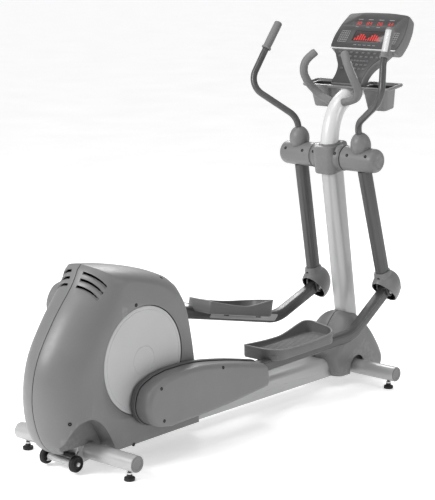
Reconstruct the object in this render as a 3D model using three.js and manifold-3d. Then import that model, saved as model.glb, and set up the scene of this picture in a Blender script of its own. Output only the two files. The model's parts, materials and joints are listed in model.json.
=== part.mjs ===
// Elliptical trainer with a rear drive, built as an assembly of separate closed solids.
// Millimetres. +X points forward to the console, +Y to the user's left, +Z up.
// Everything is laid out from the axis of the rear stabiliser, and the whole group is then
// shifted along X, so that the origin is on the floor below the middle of the trainer.

import * as THREE from "three";
import { mergeVertices } from "three/addons/utils/BufferGeometryUtils.js";
import Module from "manifold-3d";

const wasm = await Module();
wasm.setup();

// ---------------------------------------------------------------- driving dimensions

const GAP = 0.3; // between pieces that touch
const SHAFT_SIDES = 16; // facets of the drive's shafts, bearings and their bores
const PULLEY_SIDES = 24;
const STABILISER_SIDES = 16; // and of every seat for them
const RUNNING_GAP = 1; // around covers that move past each other
const SHELL_WALL = 4; // moulded plastic shells
const RIGHT = -1; // sign of Y on the user's right
const LEFT = 1;

const STABILISER_LENGTH = 620;
const STABILISER_RADIUS = 31.75;
const STABILISER_WALL = 3;
const STABILISER_HEIGHT = 68; // axis above the floor
const WHEELBASE = 1584.5; // rear to front stabiliser

const FOOT_INSET = 41; // foot axis in from the end of the stabiliser
const FOOT_PAD_RADIUS = 20.6;
const FOOT_PAD_HEIGHT = 13;
const FOOT_STEM_RADIUS = 6;
const FOOT_STEM_TOP = 52;

const SPINE_WIDTH = 120;
const SPINE_BOTTOM = 40;
const SPINE_TOP = 124;
const SPINE_WALL = 4;
const SPINE_CROWN = 40; // radius of the upper edges
const SPINE_SKIRT = 32; // height of the set-in lower band
const SPINE_REAR = -55;
const SPINE_FRONT = 1722;

const WHEEL_RADIUS = 31;
const WHEEL_WIDTH = 22;
const WHEEL_SPACING = 154; // between the middles of the two wheels
const WHEEL_X = -80;
const WHEEL_Z = 38;
const WHEEL_AXLE_RADIUS = 8;

const PIVOT_X = 1510; // axis of the swing arms
const PIVOT_Z = 987;
const PIVOT_SHAFT_RADIUS = 15;
const MAST_LEAN = 9.75; // degrees towards the user
const MAST_DEPTH = 100;
const MAST_WIDTH = 78;
const MAST_WALL = 4;
const MAST_POST_TOP = 45; // above the pivot axis
const MAST_TUBE_RADIUS = 38.1;

const COLLAR_RADIUS = 55;
const COLLAR_HALF_WIDTH = 79;
const COLLAR_BOSS = { depth: 136, width: 104, below: 62, above: 58, corner: 26 };

const LINK_SIDE_GAP = 3; // between each pedal link and the drive housing's flat side
const HUB_END = 250; // outer end of the pivot hub
const HUB_RADIUS = 52;
const HUB_END_RADIUS = 34;
const HUB_BORE_END = 232;
const SWING_LENGTH = 615; // pivot axis to knuckle axis
const SWING_TUBE = { depth: 62, width: 50, wall: 3, top: -46, clevisTop: -562 };
const SWING_REST = { [RIGHT]: 17.3, [LEFT]: 10.7 }; // degrees, lower end forward
const BULB = { halfWidth: 45, centre: 66, halfHeight: 54 };

const HANDLEBAR_RADIUS = 14;
const HANDLEBAR_WALL = 2.5;
const HANDLEBAR_BEND = 80; // radius
const HANDLEBAR_STEPS = 18; // pieces the bar's curve is built from
const HANDLEBAR_FOOT = 36; // where the bar starts above the pivot axis
const HANDLEBAR_KNEE = 158; // height of the first bend
const HANDLEBAR_ELBOW = new THREE.Vector3(-60, 196, 305);
const HANDLEBAR_RING = new THREE.Vector3(26, 167, 424);
const HANDLEBAR_TIP = new THREE.Vector3(133, 151, 538);
const GRIP_RADIUS = 17.5;
const GRIP_RING_RADIUS = 21;
const GRIP_RING_HEIGHT = 9;

const CRANK_X = 211;
const CRANK_Z = 377;
const CRANK_RADIUS = 165; // axle to crank pin
const CRANK_REST = -77.6; // degrees of the right pin, from +X towards +Z
const CRANK_AXLE_RADIUS = 12.5;
const BEARING_RADIUS = 30;
const CRANK_ARM = { width: 44, thickness: 14, outerFace: 130 };
const CRANK_PIN = { radius: 12 };
const DISC_RADIUS = 203;
const DISC_THICKNESS = 6;
const DISC_FACE = 139; // distance of the disc's rim from the middle plane

const KNUCKLE_PIN_RADIUS = 10;
const KNUCKLE_EYE = { radius: 24, halfWidth: 19 };
const CLEVIS = { innerHalf: 20.5, outerHalf: 29, radius: 24 };
// The hood's mouth: degrees from level, facing rearward and down, and how far ahead of the knuckle
// it passes.
const MOUTH = { tilt: 56, forward: -17 };
const HOOD = { halfLength: 80, halfWidth: 54, halfHeight: 78, wall: 4, forward: 8, rise: 8 };

const LINK_LENGTH = 1457.5; // crank pin to knuckle
const LINK_BEND = { along: 1195, below: 125 };
const LINK_TUBE = { height: 50, width: 44, wall: 3, plugs: { rear: 52, front: 56 }, drain: 7 };
const LINK_BOSS = { radius: 42, halfWidth: 18 };
const LINK_REST = { [RIGHT]: 7.24, [LEFT]: -6.12 }; // degrees, front end up

const COVER = { inner: 147, split: 170, outer: 236, bevel: 20, tubeRoom: 1.5 };
const PEDAL = { rear: 630, length: 420, inner: 50, outer: 215, floor: 5, wall: 6, under: 12 };
const PEDAL_RIM = { end: 62, dip: 12, innerFront: 24 }; // above the middle of the link tube

const HOUSING_HALF_WIDTH = 141;
const DISC_WELL_GAP = 3;
const POCKET = { x: -62, halfLength: 128, top: 214, inner: 48 };

const SHROUD_HALF_WIDTH = 102;
const SHROUD_ARCH_RADIUS = 50;

const DRIVE_PULLEY_RADIUS = 150;
const JACKSHAFT = { x: 20, z: 555, radius: 10, small: 30, large: 78 };
const GENERATOR = { x: 274, z: 588, radius: 58, rotor: 8, pulley: 20 };
const DRIVE_BELT_Y = 33;
const GENERATOR_BELT_Y = -36;
const BELT_WIDTH = 20;
const BELT_THICKNESS = 3;
const BELT_GAP = 1.4; // clear of the pulleys' facets
const UPRIGHT = { half: 60, thickness: 8 };

const CONSOLE_X = 1600.2; // lower edge of the console's front plane
const CONSOLE_Z = 1289.2;
const CONSOLE_TILT = 49.76; // degrees of that plane above the horizontal
const CONSOLE_HEIGHT = 385;
const CONSOLE_SPLIT = 184; // trim line between the display face and the key panel
const CONSOLE_DEPTH = 62; // of the display half
const CONSOLE_NECK_DEPTH = 42; // of the key half
const FACE_THICKNESS = 3;

const TRAY = { front: 1592, length: 118, halfWidth: 231, z: 1279, tilt: 9, rim: 12, plate: 5 };
const BIN = { inner: 78, outer: 206, depth: 104, wall: 3.5, taper: 14, front: 14, rear: 14 };

const FIXED_BAR_RADIUS = 17.5;
const FIXED_BAR_WALL = 5;

// ---------------------------------------------------------------- sizes that follow from them

const FOOT_Y = STABILISER_LENGTH / 2 - FOOT_INSET;
// Middle plane of each swing arm and pedal link.
const ARM_Y = HOUSING_HALF_WIDTH + LINK_SIDE_GAP + LINK_TUBE.width / 2;
const CRANK_PIN_END = ARM_Y - LINK_TUBE.width / 2 - GAP;
const MAST_FOOT_Z = SPINE_TOP + GAP;
const MAST_JOINT_Z = PIVOT_Z + MAST_POST_TOP; // where the post ends and the bent tube starts
const AXLE_END = CRANK_ARM.outerFace - 2;
const PULLEY_HALF_WIDTH = BELT_WIDTH / 2 + 2;
const GENERATOR_FACE = GENERATOR_BELT_Y + BELT_WIDTH / 2 + 8;
const LINK_DROP = Math.atan2(LINK_BEND.below, LINK_BEND.along); // slope of the rear run

// ---------------------------------------------------------------- shape helpers

const radians = THREE.MathUtils.degToRad;
const vec = (x, y, z) => new THREE.Vector3(x, y, z);

// Closed geometry as a manifold solid.
function solid(geometry) {
  const bare = new THREE.BufferGeometry();
  bare.setAttribute("position", geometry.getAttribute("position"));
  if (geometry.index) bare.setIndex(geometry.index);
  const merged = mergeVertices(bare, 1e-3);
  const corners = [];
  const index = merged.index.array;
  for (let i = 0; i < index.length; i += 3) {
    const [a, b, c] = index.slice(i, i + 3);
    if (a !== b && b !== c && c !== a) corners.push(a, b, c);
  }
  const made = new wasm.Manifold(
    new wasm.Mesh({
      numProp: 3,
      vertProperties: merged.getAttribute("position").array,
      triVerts: new Uint32Array(corners),
    }),
  );
  return made;
}

// Faces turned round where a mirrored or reversed build left the body inside out.
function outward(geometry) {
  const flat = geometry.index ? geometry.toNonIndexed() : geometry;
  const p = flat.getAttribute("position");
  const [a, b, c] = [vec(0, 0, 0), vec(0, 0, 0), vec(0, 0, 0)];
  let volume = 0;
  for (let i = 0; i < p.count; i += 3) {
    a.fromBufferAttribute(p, i);
    b.fromBufferAttribute(p, i + 1);
    c.fromBufferAttribute(p, i + 2);
    volume += a.dot(b.cross(c));
  }
  if (volume >= 0) return flat;
  const swapped = new THREE.BufferGeometry();
  const values = Float32Array.from(p.array);
  for (let i = 0; i < values.length; i += 9) {
    const second = values.slice(i + 3, i + 6);
    values.copyWithin(i + 3, i + 6, i + 9);
    values.set(second, i + 6);
  }
  swapped.setAttribute("position", new THREE.BufferAttribute(values, 3));
  return swapped;
}

const union = (first, ...rest) => rest.reduce((sum, next) => sum.add(next), first);
const cut = (body, ...tools) => tools.reduce((rest, tool) => rest.subtract(tool), body);

function block(x0, x1, y0, y1, z0, z1) {
  const g = new THREE.BoxGeometry(Math.abs(x1 - x0), Math.abs(y1 - y0), Math.abs(z1 - z0));
  return solid(g.translate((x0 + x1) / 2, (y0 + y1) / 2, (z0 + z1) / 2));
}

// Cylinder along Y, at x and z.
function barY(radius, y0, y1, x, z, sides = 24) {
  const g = new THREE.CylinderGeometry(radius, radius, Math.abs(y1 - y0), sides);
  return solid(g.translate(x, (y0 + y1) / 2, z));
}

// Cylinder along Z, at x and y.
function barZ(radius, z0, z1, x, y, sides = 20) {
  const g = new THREE.CylinderGeometry(radius, radius, z1 - z0, sides).rotateX(Math.PI / 2);
  return solid(g.translate(x, y, (z0 + z1) / 2));
}

function ellipsoid(x, y, z, rx, ry, rz, around = 20, rings = 12) {
  const g = new THREE.SphereGeometry(1, around, rings).rotateX(Math.PI / 2);
  return solid(g.scale(rx, ry, rz).translate(x, y, z));
}

// Solid of revolution about the Y axis through x, z; the profile is [radius, y] pairs.
function turnedY(profile, x, z, sides = 28) {
  const points = profile.map(([r, y]) => new THREE.Vector2(r, y));
  return solid(outward(new THREE.LatheGeometry(points, sides).translate(x, 0, z)));
}

// Solid of revolution about a vertical axis; the profile is [radius, z] pairs.
function turnedZ(profile, sides = 20) {
  const points = profile.map(([r, z]) => new THREE.Vector2(r, z));
  return outward(new THREE.LatheGeometry(points, sides).rotateX(Math.PI / 2));
}

// A side-view shape (X to the right, Z up) pushed out between two Y planes.
function slabY(shape, y0, y1, curveSegments = 4) {
  const depth = Math.abs(y1 - y0);
  const g = new THREE.ExtrudeGeometry(shape, { depth, bevelEnabled: false, curveSegments });
  return solid(g.rotateX(Math.PI / 2).translate(0, Math.max(y0, y1), 0));
}

// Side faces between successive rings of points, closed by the first and last ring.
function loft(rings) {
  const positions = [];
  const put = (...points) => points.forEach((p) => positions.push(p.x, p.y, p.z));
  const count = rings[0].length;
  for (let k = 0; k + 1 < rings.length; k++) {
    for (let i = 0; i < count; i++) {
      const j = (i + 1) % count;
      put(rings[k][i], rings[k][j], rings[k + 1][j]);
      put(rings[k][i], rings[k + 1][j], rings[k + 1][i]);
    }
  }
  for (const [ring, reversed] of [
    [rings[0], true],
    [rings[rings.length - 1], false],
  ]) {
    for (const [a, b, c] of THREE.ShapeUtils.triangulateShape(flattened(ring), [])) {
      if (reversed) put(ring[a], ring[c], ring[b]);
      else put(ring[a], ring[b], ring[c]);
    }
  }
  const g = new THREE.BufferGeometry();
  g.setAttribute("position", new THREE.Float32BufferAttribute(positions, 3));
  return solid(outward(g));
}

// A nearly plane ring of points in two dimensions, with its winding kept anticlockwise.
function flattened(ring) {
  const normal = vec(0, 0, 0);
  ring.forEach((p, i) => {
    const q = ring[(i + 1) % ring.length];
    normal.add(p.clone().cross(q));
  });
  normal.normalize();
  const u = ring[1].clone().sub(ring[0]);
  u.addScaledVector(normal, -u.dot(normal)).normalize();
  const v = normal.clone().cross(u);
  return ring.map((p) => new THREE.Vector2(p.dot(u), p.dot(v)));
}

// Round tube through points, each corner turned with one bend radius; wall 0 makes a rod.
function bentTube(points, bend, radius, wall, steps, sides = 10) {
  const path = new THREE.CurvePath();
  let from = points[0];
  for (let i = 1; i < points.length; i++) {
    const last = i === points.length - 1;
    const back = points[i - 1].clone().sub(points[i]).normalize();
    const ahead = last ? null : points[i + 1].clone().sub(points[i]).normalize();
    const reach = last ? 0 : bend * Math.tan(back.angleTo(ahead.clone().negate()) / 2);
    const entry = points[i].clone().addScaledVector(back, reach);
    path.add(new THREE.LineCurve3(from, entry));
    if (last) break;
    const exit = points[i].clone().addScaledVector(ahead, reach);
    path.add(new THREE.QuadraticBezierCurve3(entry, points[i], exit));
    from = exit;
  }
  return sweep(path, radius, wall, steps, sides);
}

function sweep(path, radius, wall, steps, sides = 10) {
  const shape = new THREE.Shape().absarc(0, 0, radius, 0, 2 * Math.PI, false);
  if (wall > 0) {
    shape.holes.push(new THREE.Path().absarc(0, 0, radius - wall, 0, 2 * Math.PI, true));
  }
  const options = { steps, extrudePath: path, bevelEnabled: false, curveSegments: sides / 2 };
  return solid(outward(new THREE.ExtrudeGeometry(shape, options)));
}

// Ellipse-like section ring at height z in the XY plane.
function ovalRing(depth, width, z, count = 16, power = 2.6) {
  const ring = [];
  for (let i = 0; i < count; i++) {
    const a = (2 * Math.PI * i) / count;
    const x = Math.sign(Math.cos(a)) * Math.abs(Math.cos(a)) ** (2 / power);
    const y = Math.sign(Math.sin(a)) * Math.abs(Math.sin(a)) ** (2 / power);
    ring.push(vec((x * depth) / 2, (y * width) / 2, z));
  }
  return ring;
}

function ovalPost(depth, width, z0, z1) {
  return loft([ovalRing(depth, width, z0), ovalRing(depth, width, z1)]);
}

// Points along a smooth open curve through a few anchors.
function smooth(anchors, count) {
  const curve = new THREE.SplineCurve(anchors.map(([x, z]) => new THREE.Vector2(x, z)));
  return curve.getPoints(count);
}

// Outline parallel to a closed one, moved in by a distance.
function inset(points, distance) {
  const area = THREE.ShapeUtils.area(points);
  const side = Math.sign(area) * distance;
  return points.map((p, i) => {
    const before = points[(i + points.length - 1) % points.length];
    const after = points[(i + 1) % points.length];
    const a = p.clone().sub(before).normalize();
    const b = after.clone().sub(p).normalize();
    const normal = new THREE.Vector2(-(a.y + b.y), a.x + b.x);
    const scale = Math.max(0.5, 0.5 * normal.length());
    return p.clone().addScaledVector(normal.normalize(), side / scale);
  });
}

// Half shell whose outline runs from the seam, y = 0, to a flat side, rounded as a quarter ellipse.
function halfDome(seam, side, halfWidth, sign, steps) {
  const rings = [];
  for (let k = 0; k <= steps; k++) {
    const angle = (k / steps) * (Math.PI / 2);
    const share = 1 - Math.cos(angle);
    const y = sign * Math.max(GAP / 2, halfWidth * Math.sin(angle));
    rings.push(seam.map((p, i) => p.clone().lerp(side[i], share)).map((p) => vec(p.x, y, p.y)));
  }
  return loft(rings);
}

// Two circles joined by their outer tangents: a bar, a link or the run of a belt.
function racetrack(x0, z0, r0, x1, z1, r1) {
  const span = Math.hypot(x1 - x0, z1 - z0);
  const heading = Math.atan2(z1 - z0, x1 - x0);
  const open = Math.acos((r0 - r1) / span);
  const shape = new THREE.Shape();
  shape.absarc(x0, z0, r0, heading + open, heading - open + 2 * Math.PI, false);
  shape.absarc(x1, z1, r1, heading - open, heading + open, false);
  shape.closePath();
  return shape;
}

const group = new THREE.Group();

function finish(color, roughness, metalness) {
  return { color, roughness, metalness };
}

const FINISH = {
  casing: finish(0x8c8c8c, 0.45, 0),
  darkCasing: finish(0x5c5c5c, 0.5, 0),
  disc: finish(0xc2c2c2, 0.4, 0),
  silver: finish(0xb6b6b8, 0.35, 0.6),
  white: finish(0xe2e2e4, 0.35, 0.3),
  darkTube: finish(0x606062, 0.4, 0.4),
  rubber: finish(0x7c7c7c, 0.8, 0),
  black: finish(0x161616, 0.6, 0),
  steel: finish(0x9a9a9e, 0.3, 1),
  face: finish(0x2b2c2f, 0.35, 0),
};

function place(parent, name, body, look) {
  const made = body.getMesh();
  const g = new THREE.BufferGeometry();
  const positions = new Float32Array(made.numVert * 3);
  for (let i = 0; i < made.numVert; i++) {
    positions.set(made.vertProperties.subarray(i * made.numProp, i * made.numProp + 3), 3 * i);
  }
  g.setAttribute("position", new THREE.BufferAttribute(positions, 3));
  g.setIndex(new THREE.BufferAttribute(made.triVerts, 1));
  g.computeVertexNormals();
  const mesh = new THREE.Mesh(g, new THREE.MeshStandardMaterial(look));
  mesh.name = name;
  parent.add(mesh);
  return mesh;
}

// ---------------------------------------------------------------- floor frame

function stabiliser(name, x) {
  const half = STABILISER_LENGTH / 2;
  const outer = barY(STABILISER_RADIUS, -half, half, x, STABILISER_HEIGHT, STABILISER_SIDES);
  const inside = STABILISER_RADIUS - STABILISER_WALL;
  const bore = barY(inside, -half - 1, half + 1, x, STABILISER_HEIGHT, STABILISER_SIDES);
  const holes = [RIGHT, LEFT].map((side) =>
    barZ(FOOT_STEM_RADIUS + GAP, 0, STABILISER_HEIGHT, x, side * FOOT_Y),
  );
  place(group, name, cut(outer, bore, ...holes), FINISH.silver);
}

function foot(name, x, side) {
  const lip = 3;
  const profile = [
    [0, 0],
    [FOOT_PAD_RADIUS - lip, 0],
    [FOOT_PAD_RADIUS, lip],
    [FOOT_PAD_RADIUS, FOOT_PAD_HEIGHT - lip],
    [FOOT_STEM_RADIUS + 4, FOOT_PAD_HEIGHT],
    [FOOT_STEM_RADIUS, FOOT_PAD_HEIGHT + 7],
    [FOOT_STEM_RADIUS, FOOT_STEM_TOP],
    [0, FOOT_STEM_TOP],
  ];
  const body = solid(turnedZ(profile, 14).translate(x, side * FOOT_Y, 0));
  place(group, name, body, FINISH.black);
}

function spineSection(grow = 0) {
  const half = SPINE_WIDTH / 2 + grow;
  const step = 5 - grow / 2;
  const bottom = SPINE_BOTTOM - grow;
  const top = SPINE_TOP + grow;
  const crown = SPINE_CROWN + grow;
  const shape = new THREE.Shape();
  shape.moveTo(-half + step, bottom);
  shape.lineTo(half - step, bottom);
  shape.lineTo(half - step, bottom + SPINE_SKIRT);
  shape.lineTo(half, bottom + SPINE_SKIRT + 3);
  shape.absarc(half - crown, top - crown, crown, 0, Math.PI / 2, false);
  shape.absarc(crown - half, top - crown, crown, Math.PI / 2, Math.PI, false);
  shape.lineTo(-half, bottom + SPINE_SKIRT + 3);
  shape.lineTo(-half + step, bottom + SPINE_SKIRT);
  shape.closePath();
  return shape;
}

// The spine's section (Y across, Z up) pushed along X.
function spineRun(shape, x0, x1) {
  const options = { depth: x1 - x0, bevelEnabled: false, curveSegments: 2 };
  const g = new THREE.ExtrudeGeometry(shape, options);
  return solid(g.rotateX(Math.PI / 2).rotateZ(Math.PI / 2).translate(x0, 0, 0));
}

// Upright side plate of the drive, which carries the crank, the jackshaft and the generator.
function upright(side) {
  const shape = new THREE.Shape();
  shape.moveTo(70, SPINE_TOP - 44);
  shape.lineTo(350, SPINE_TOP - 44);
  shape.lineTo(335, 420);
  shape.lineTo(GENERATOR.x + 62, GENERATOR.z - 10);
  shape.lineTo(GENERATOR.x + 30, GENERATOR.z + 42);
  shape.lineTo(JACKSHAFT.x + 20, JACKSHAFT.z + 30);
  shape.lineTo(JACKSHAFT.x - 28, JACKSHAFT.z + 4);
  shape.lineTo(JACKSHAFT.x - 12, JACKSHAFT.z - 40);
  shape.closePath();
  const inner = UPRIGHT.half - UPRIGHT.thickness;
  const bearing = barY(BEARING_RADIUS + GAP, -100, 100, CRANK_X, CRANK_Z, SHAFT_SIDES);
  const shaft = barY(JACKSHAFT.radius + GAP, -100, 100, JACKSHAFT.x, JACKSHAFT.z, SHAFT_SIDES);
  return cut(slabY(shape, side * inner, side * UPRIGHT.half), bearing, shaft);
}

function mainFrame() {
  const outer = spineRun(spineSection(), SPINE_REAR, SPINE_FRONT);
  const bore = spineRun(spineSection(-SPINE_WALL), SPINE_REAR - 1, SPINE_FRONT + 1);
  const crossTubes = [0, WHEELBASE].map((x) =>
    barY(STABILISER_RADIUS + GAP, -SPINE_WIDTH, SPINE_WIDTH, x, STABILISER_HEIGHT, STABILISER_SIDES),
  );
  const beam = cut(outer, bore, ...crossTubes);
  place(group, "main_frame", union(beam, upright(RIGHT), upright(LEFT)), FINISH.silver);
}

function wheelBracket() {
  const half = WHEEL_SPACING / 2 - WHEEL_WIDTH / 2 - 4;
  const cheek = 6;
  const reach = half + WHEEL_WIDTH + 6;
  const axle = barY(WHEEL_AXLE_RADIUS, -reach, reach, WHEEL_X, WHEEL_Z, 16);
  const tube = barY(WHEEL_AXLE_RADIUS + 5, -half, half, WHEEL_X, WHEEL_Z, 16);
  const top = STABILISER_HEIGHT + 22;
  const shape = new THREE.Shape();
  shape.moveTo(WHEEL_X - 16, WHEEL_Z - 14);
  shape.lineTo(WHEEL_X + 14, WHEEL_Z - 16);
  shape.lineTo(0, STABILISER_HEIGHT - STABILISER_RADIUS - 4);
  shape.lineTo(0, top);
  shape.lineTo(-30, top);
  shape.closePath();
  const cheeks = [RIGHT, LEFT].map((side) => slabY(shape, side * (half - cheek), side * half));
  const seat = barY(STABILISER_RADIUS + GAP, -half - 1, half + 1, 0, STABILISER_HEIGHT, STABILISER_SIDES);
  const spine = spineRun(spineSection(RUNNING_GAP), SPINE_REAR - 1, 0);
  const rest = cut(union(tube, ...cheeks), seat, spine);
  place(group, "wheel_bracket", union(rest, axle), FINISH.silver);
}

function transportWheel(name, side) {
  const y = (side * WHEEL_SPACING) / 2;
  const half = WHEEL_WIDTH / 2;
  const bore = WHEEL_AXLE_RADIUS + GAP;
  const profile = [
    [bore, y - half],
    [WHEEL_RADIUS - 4, y - half],
    [WHEEL_RADIUS, y - half + 5],
    [WHEEL_RADIUS, y + half - 5],
    [WHEEL_RADIUS - 4, y + half],
    [bore, y + half],
    [bore, y - half],
  ];
  place(group, name, turnedY(profile, WHEEL_X, WHEEL_Z, 18), FINISH.black);
}

// ---------------------------------------------------------------- mast and console

const leanTangent = Math.tan(radians(MAST_LEAN));
const mastX = (z) => PIVOT_X - (z - PIVOT_Z) * leanTangent;

// Oval post leaning about the pivot axis; grow widens it on every side.
function mastPostBody(grow, z0, z1) {
  const rings = [z0, z1].map((z) =>
    ovalRing(MAST_DEPTH + 2 * grow, MAST_WIDTH + 2 * grow, z).map((p) => vec(p.x + mastX(z), p.y, z)),
  );
  return loft(rings);
}

function mastPost() {
  const outer = mastPostBody(0, MAST_FOOT_Z, MAST_JOINT_Z);
  const bore = mastPostBody(-MAST_WALL, MAST_FOOT_Z - 1, MAST_JOINT_Z + 1);
  const shaft = barY(PIVOT_SHAFT_RADIUS + GAP, -MAST_WIDTH, MAST_WIDTH, PIVOT_X, PIVOT_Z);
  place(group, "mast_post", cut(outer, bore, shaft), FINISH.silver);
}

function mastTubePath() {
  const start = vec(mastX(MAST_JOINT_Z + GAP), 0, MAST_JOINT_Z + GAP);
  const straight = vec(mastX(MAST_JOINT_Z + 25), 0, MAST_JOINT_Z + 25);
  return new THREE.CatmullRomCurve3([
    start,
    straight,
    vec(1512, 0, 1130),
    vec(1546, 0, 1190),
    vec(1600, 0, 1228),
    vec(1660, 0, 1253),
    vec(1710, 0, 1270),
  ]);
}

function mastTubeBody(grow, wall) {
  return sweep(mastTubePath(), MAST_TUBE_RADIUS + grow, wall, 10, 12);
}

function mastTube() {
  const trim = block(PIVOT_X - 100, PIVOT_X + 100, -100, 100, MAST_JOINT_Z - 60, MAST_JOINT_Z + GAP);
  place(group, "mast_tube", cut(mastTubeBody(0, 4), trim), FINISH.white);
}

function roundedSquare(depth, width, corner) {
  const [a, b] = [depth / 2, width / 2];
  const shape = new THREE.Shape();
  shape.absarc(a - corner, b - corner, corner, 0, Math.PI / 2, false);
  shape.absarc(corner - a, b - corner, corner, Math.PI / 2, Math.PI, false);
  shape.absarc(corner - a, corner - b, corner, Math.PI, 1.5 * Math.PI, false);
  shape.absarc(a - corner, corner - b, corner, 1.5 * Math.PI, 2 * Math.PI, false);
  shape.closePath();
  return shape;
}

function pivotCollar() {
  const arms = barY(COLLAR_RADIUS, -COLLAR_HALF_WIDTH, COLLAR_HALF_WIDTH, PIVOT_X, PIVOT_Z, 20);
  const { depth, width, below, above, corner } = COLLAR_BOSS;
  const section = roundedSquare(depth, width, corner);
  const options = {
    depth: below + above - 12,
    bevelEnabled: true,
    bevelSize: 5,
    bevelThickness: 6,
    bevelOffset: -5,
    bevelSegments: 1,
    curveSegments: 3,
  };
  const g = new THREE.ExtrudeGeometry(section, options).translate(0, 0, 6 - below);
  const boss = solid(g.rotateY(-radians(MAST_LEAN)).translate(PIVOT_X, 0, PIVOT_Z));
  const post = mastPostBody(GAP, PIVOT_Z - 120, MAST_JOINT_Z + GAP);
  const tube = barZ(MAST_TUBE_RADIUS + 6, MAST_JOINT_Z, PIVOT_Z + 120, mastX(PIVOT_Z + 75), 0, 20);
  const shaft = barY(PIVOT_SHAFT_RADIUS + GAP, -100, 100, PIVOT_X, PIVOT_Z);
  place(group, "pivot_collar", cut(union(arms, boss), post, tube, shaft), FINISH.casing);
}

function pivotShaft() {
  const half = HUB_BORE_END - 4;
  place(group, "pivot_shaft", barY(PIVOT_SHAFT_RADIUS, -half, half, PIVOT_X, PIVOT_Z), FINISH.steel);
}

// Console parts are laid out on its front plane: x across to the left, y up it, z away from the user.
const consoleTurn = new THREE.Matrix4().makeBasis(
  vec(0, 1, 0),
  vec(Math.cos(radians(CONSOLE_TILT)), 0, Math.sin(radians(CONSOLE_TILT))),
  vec(Math.sin(radians(CONSOLE_TILT)), 0, -Math.cos(radians(CONSOLE_TILT))),
);

// A shape on the console plane, pushed from one depth behind the plane to another.
function consoleSlab(shape, near, far, bevel = 0) {
  const g = new THREE.ExtrudeGeometry(shape, {
    depth: far - near - bevel,
    bevelEnabled: bevel > 0,
    bevelSize: bevel,
    bevelOffset: -bevel,
    bevelThickness: bevel,
    bevelSegments: 1,
    curveSegments: 3,
  });
  g.translate(0, 0, near);
  g.applyMatrix4(consoleTurn).translate(CONSOLE_X, 0, CONSOLE_Z);
  return solid(outward(g));
}

// Display half of the console: sides that bow out, a crowned top.
function displayOutline(shrink = 0) {
  const low = CONSOLE_SPLIT + shrink;
  const top = CONSOLE_HEIGHT - 10 - shrink;
  const [bottomHalf, waist, topHalf] = [176 - shrink, 194 - shrink, 156 - shrink];
  const shape = new THREE.Shape();
  shape.moveTo(-bottomHalf, low);
  shape.lineTo(bottomHalf, low);
  shape.quadraticCurveTo(waist, (low + top) / 2, topHalf, top);
  shape.quadraticCurveTo(0, top + 20, -topHalf, top);
  shape.quadraticCurveTo(-waist, (low + top) / 2, -bottomHalf, low);
  return shape;
}

// Key half of the console: it narrows to a waist above the tray.
function keyOutline(shrink = 0, high = CONSOLE_SPLIT) {
  const foot = 84 - shrink;
  const waist = 70 - shrink;
  const head = 158 - shrink;
  const low = shrink;
  const top = high - shrink;
  const shape = new THREE.Shape();
  shape.moveTo(-foot, low);
  shape.lineTo(foot, low);
  shape.bezierCurveTo(waist, 40, waist - 4, 100, head, top);
  shape.lineTo(-head, top);
  shape.bezierCurveTo(4 - waist, 100, -waist, 40, -foot, low);
  return shape;
}

function consoleParts() {
  const seat = FACE_THICKNESS + GAP;
  const outside = union(
    consoleSlab(displayOutline(), 0, CONSOLE_DEPTH, 14),
    consoleSlab(keyOutline(0, CONSOLE_SPLIT + 6), 0, CONSOLE_NECK_DEPTH, 8),
  );
  const room = union(
    consoleSlab(displayOutline(SHELL_WALL + 3), seat, CONSOLE_DEPTH - SHELL_WALL, 14),
    consoleSlab(keyOutline(SHELL_WALL + 3, CONSOLE_SPLIT + 30), seat, CONSOLE_NECK_DEPTH - SHELL_WALL, 8),
  );
  const faceSeat = consoleSlab(displayOutline(3), -1, seat);
  const keySeat = consoleSlab(keyOutline(3, CONSOLE_SPLIT - 4), -1, seat);
  const windowRoom = consoleSlab(windowOutline(GAP), -1, seat);
  const tube = mastTubeBody(GAP, 0);
  place(group, "console_back", cut(outside, room, faceSeat, keySeat, tube), FINISH.casing);
  const face = cut(consoleSlab(displayOutline(3 + GAP), 0, FACE_THICKNESS), windowRoom);
  place(group, "console_face", face, FINISH.face);
  const glass = consoleSlab(windowOutline(), 0, FACE_THICKNESS);
  place(group, "display_window", glass, FINISH.black);
  const keys = consoleSlab(keyOutline(3 + GAP, CONSOLE_SPLIT - 4), 0, FACE_THICKNESS);
  place(group, "keypad_panel", cut(keys, mastTubeBody(RUNNING_GAP, 0)), FINISH.face);
}

function windowOutline(grow = 0) {
  const [half, low, high] = [80 + grow, 226 - grow, 280 + grow];
  const shape = new THREE.Shape();
  shape.moveTo(-half, low);
  shape.lineTo(half, low);
  shape.lineTo(half, high);
  shape.lineTo(-half, high);
  shape.closePath();
  return shape;
}

// Tray with a rim bar and two bottle bins, hung in front of the console's foot.
function accessoryTray() {
  const { front, length, halfWidth, z, tilt, rim, plate } = TRAY;
  const turn = (g) => solid(g.rotateY(-radians(tilt)).translate(front, 0, z));
  const deck = turn(new THREE.BoxGeometry(length, 2 * halfWidth, rim).translate(length / 2, 0, -rim / 2));
  const well = (side) => {
    const y = (side * (halfWidth + BIN.inner)) / 2;
    const width = halfWidth - BIN.inner - 2 * rim;
    const g = new THREE.BoxGeometry(length - 2 * rim, width, rim);
    return turn(g.translate(length / 2, y, -rim / 2 + rim - plate));
  };
  const bins = [];
  const rooms = [];
  for (const side of [RIGHT, LEFT]) {
    bins.push(turn(binShape(side, 0, BIN.depth)));
    rooms.push(turn(binShape(side, BIN.wall, BIN.depth - BIN.wall)));
  }
  const neck = consoleSlab(keyOutline(-GAP), -2, CONSOLE_NECK_DEPTH + 2);
  const tube = mastTubeBody(GAP, 0);
  const deckPlate = cut(deck, well(RIGHT), well(LEFT));
  const body = cut(union(deckPlate, ...bins), ...rooms, neck, tube);
  place(group, "accessory_tray", body, FINISH.casing);
}

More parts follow.
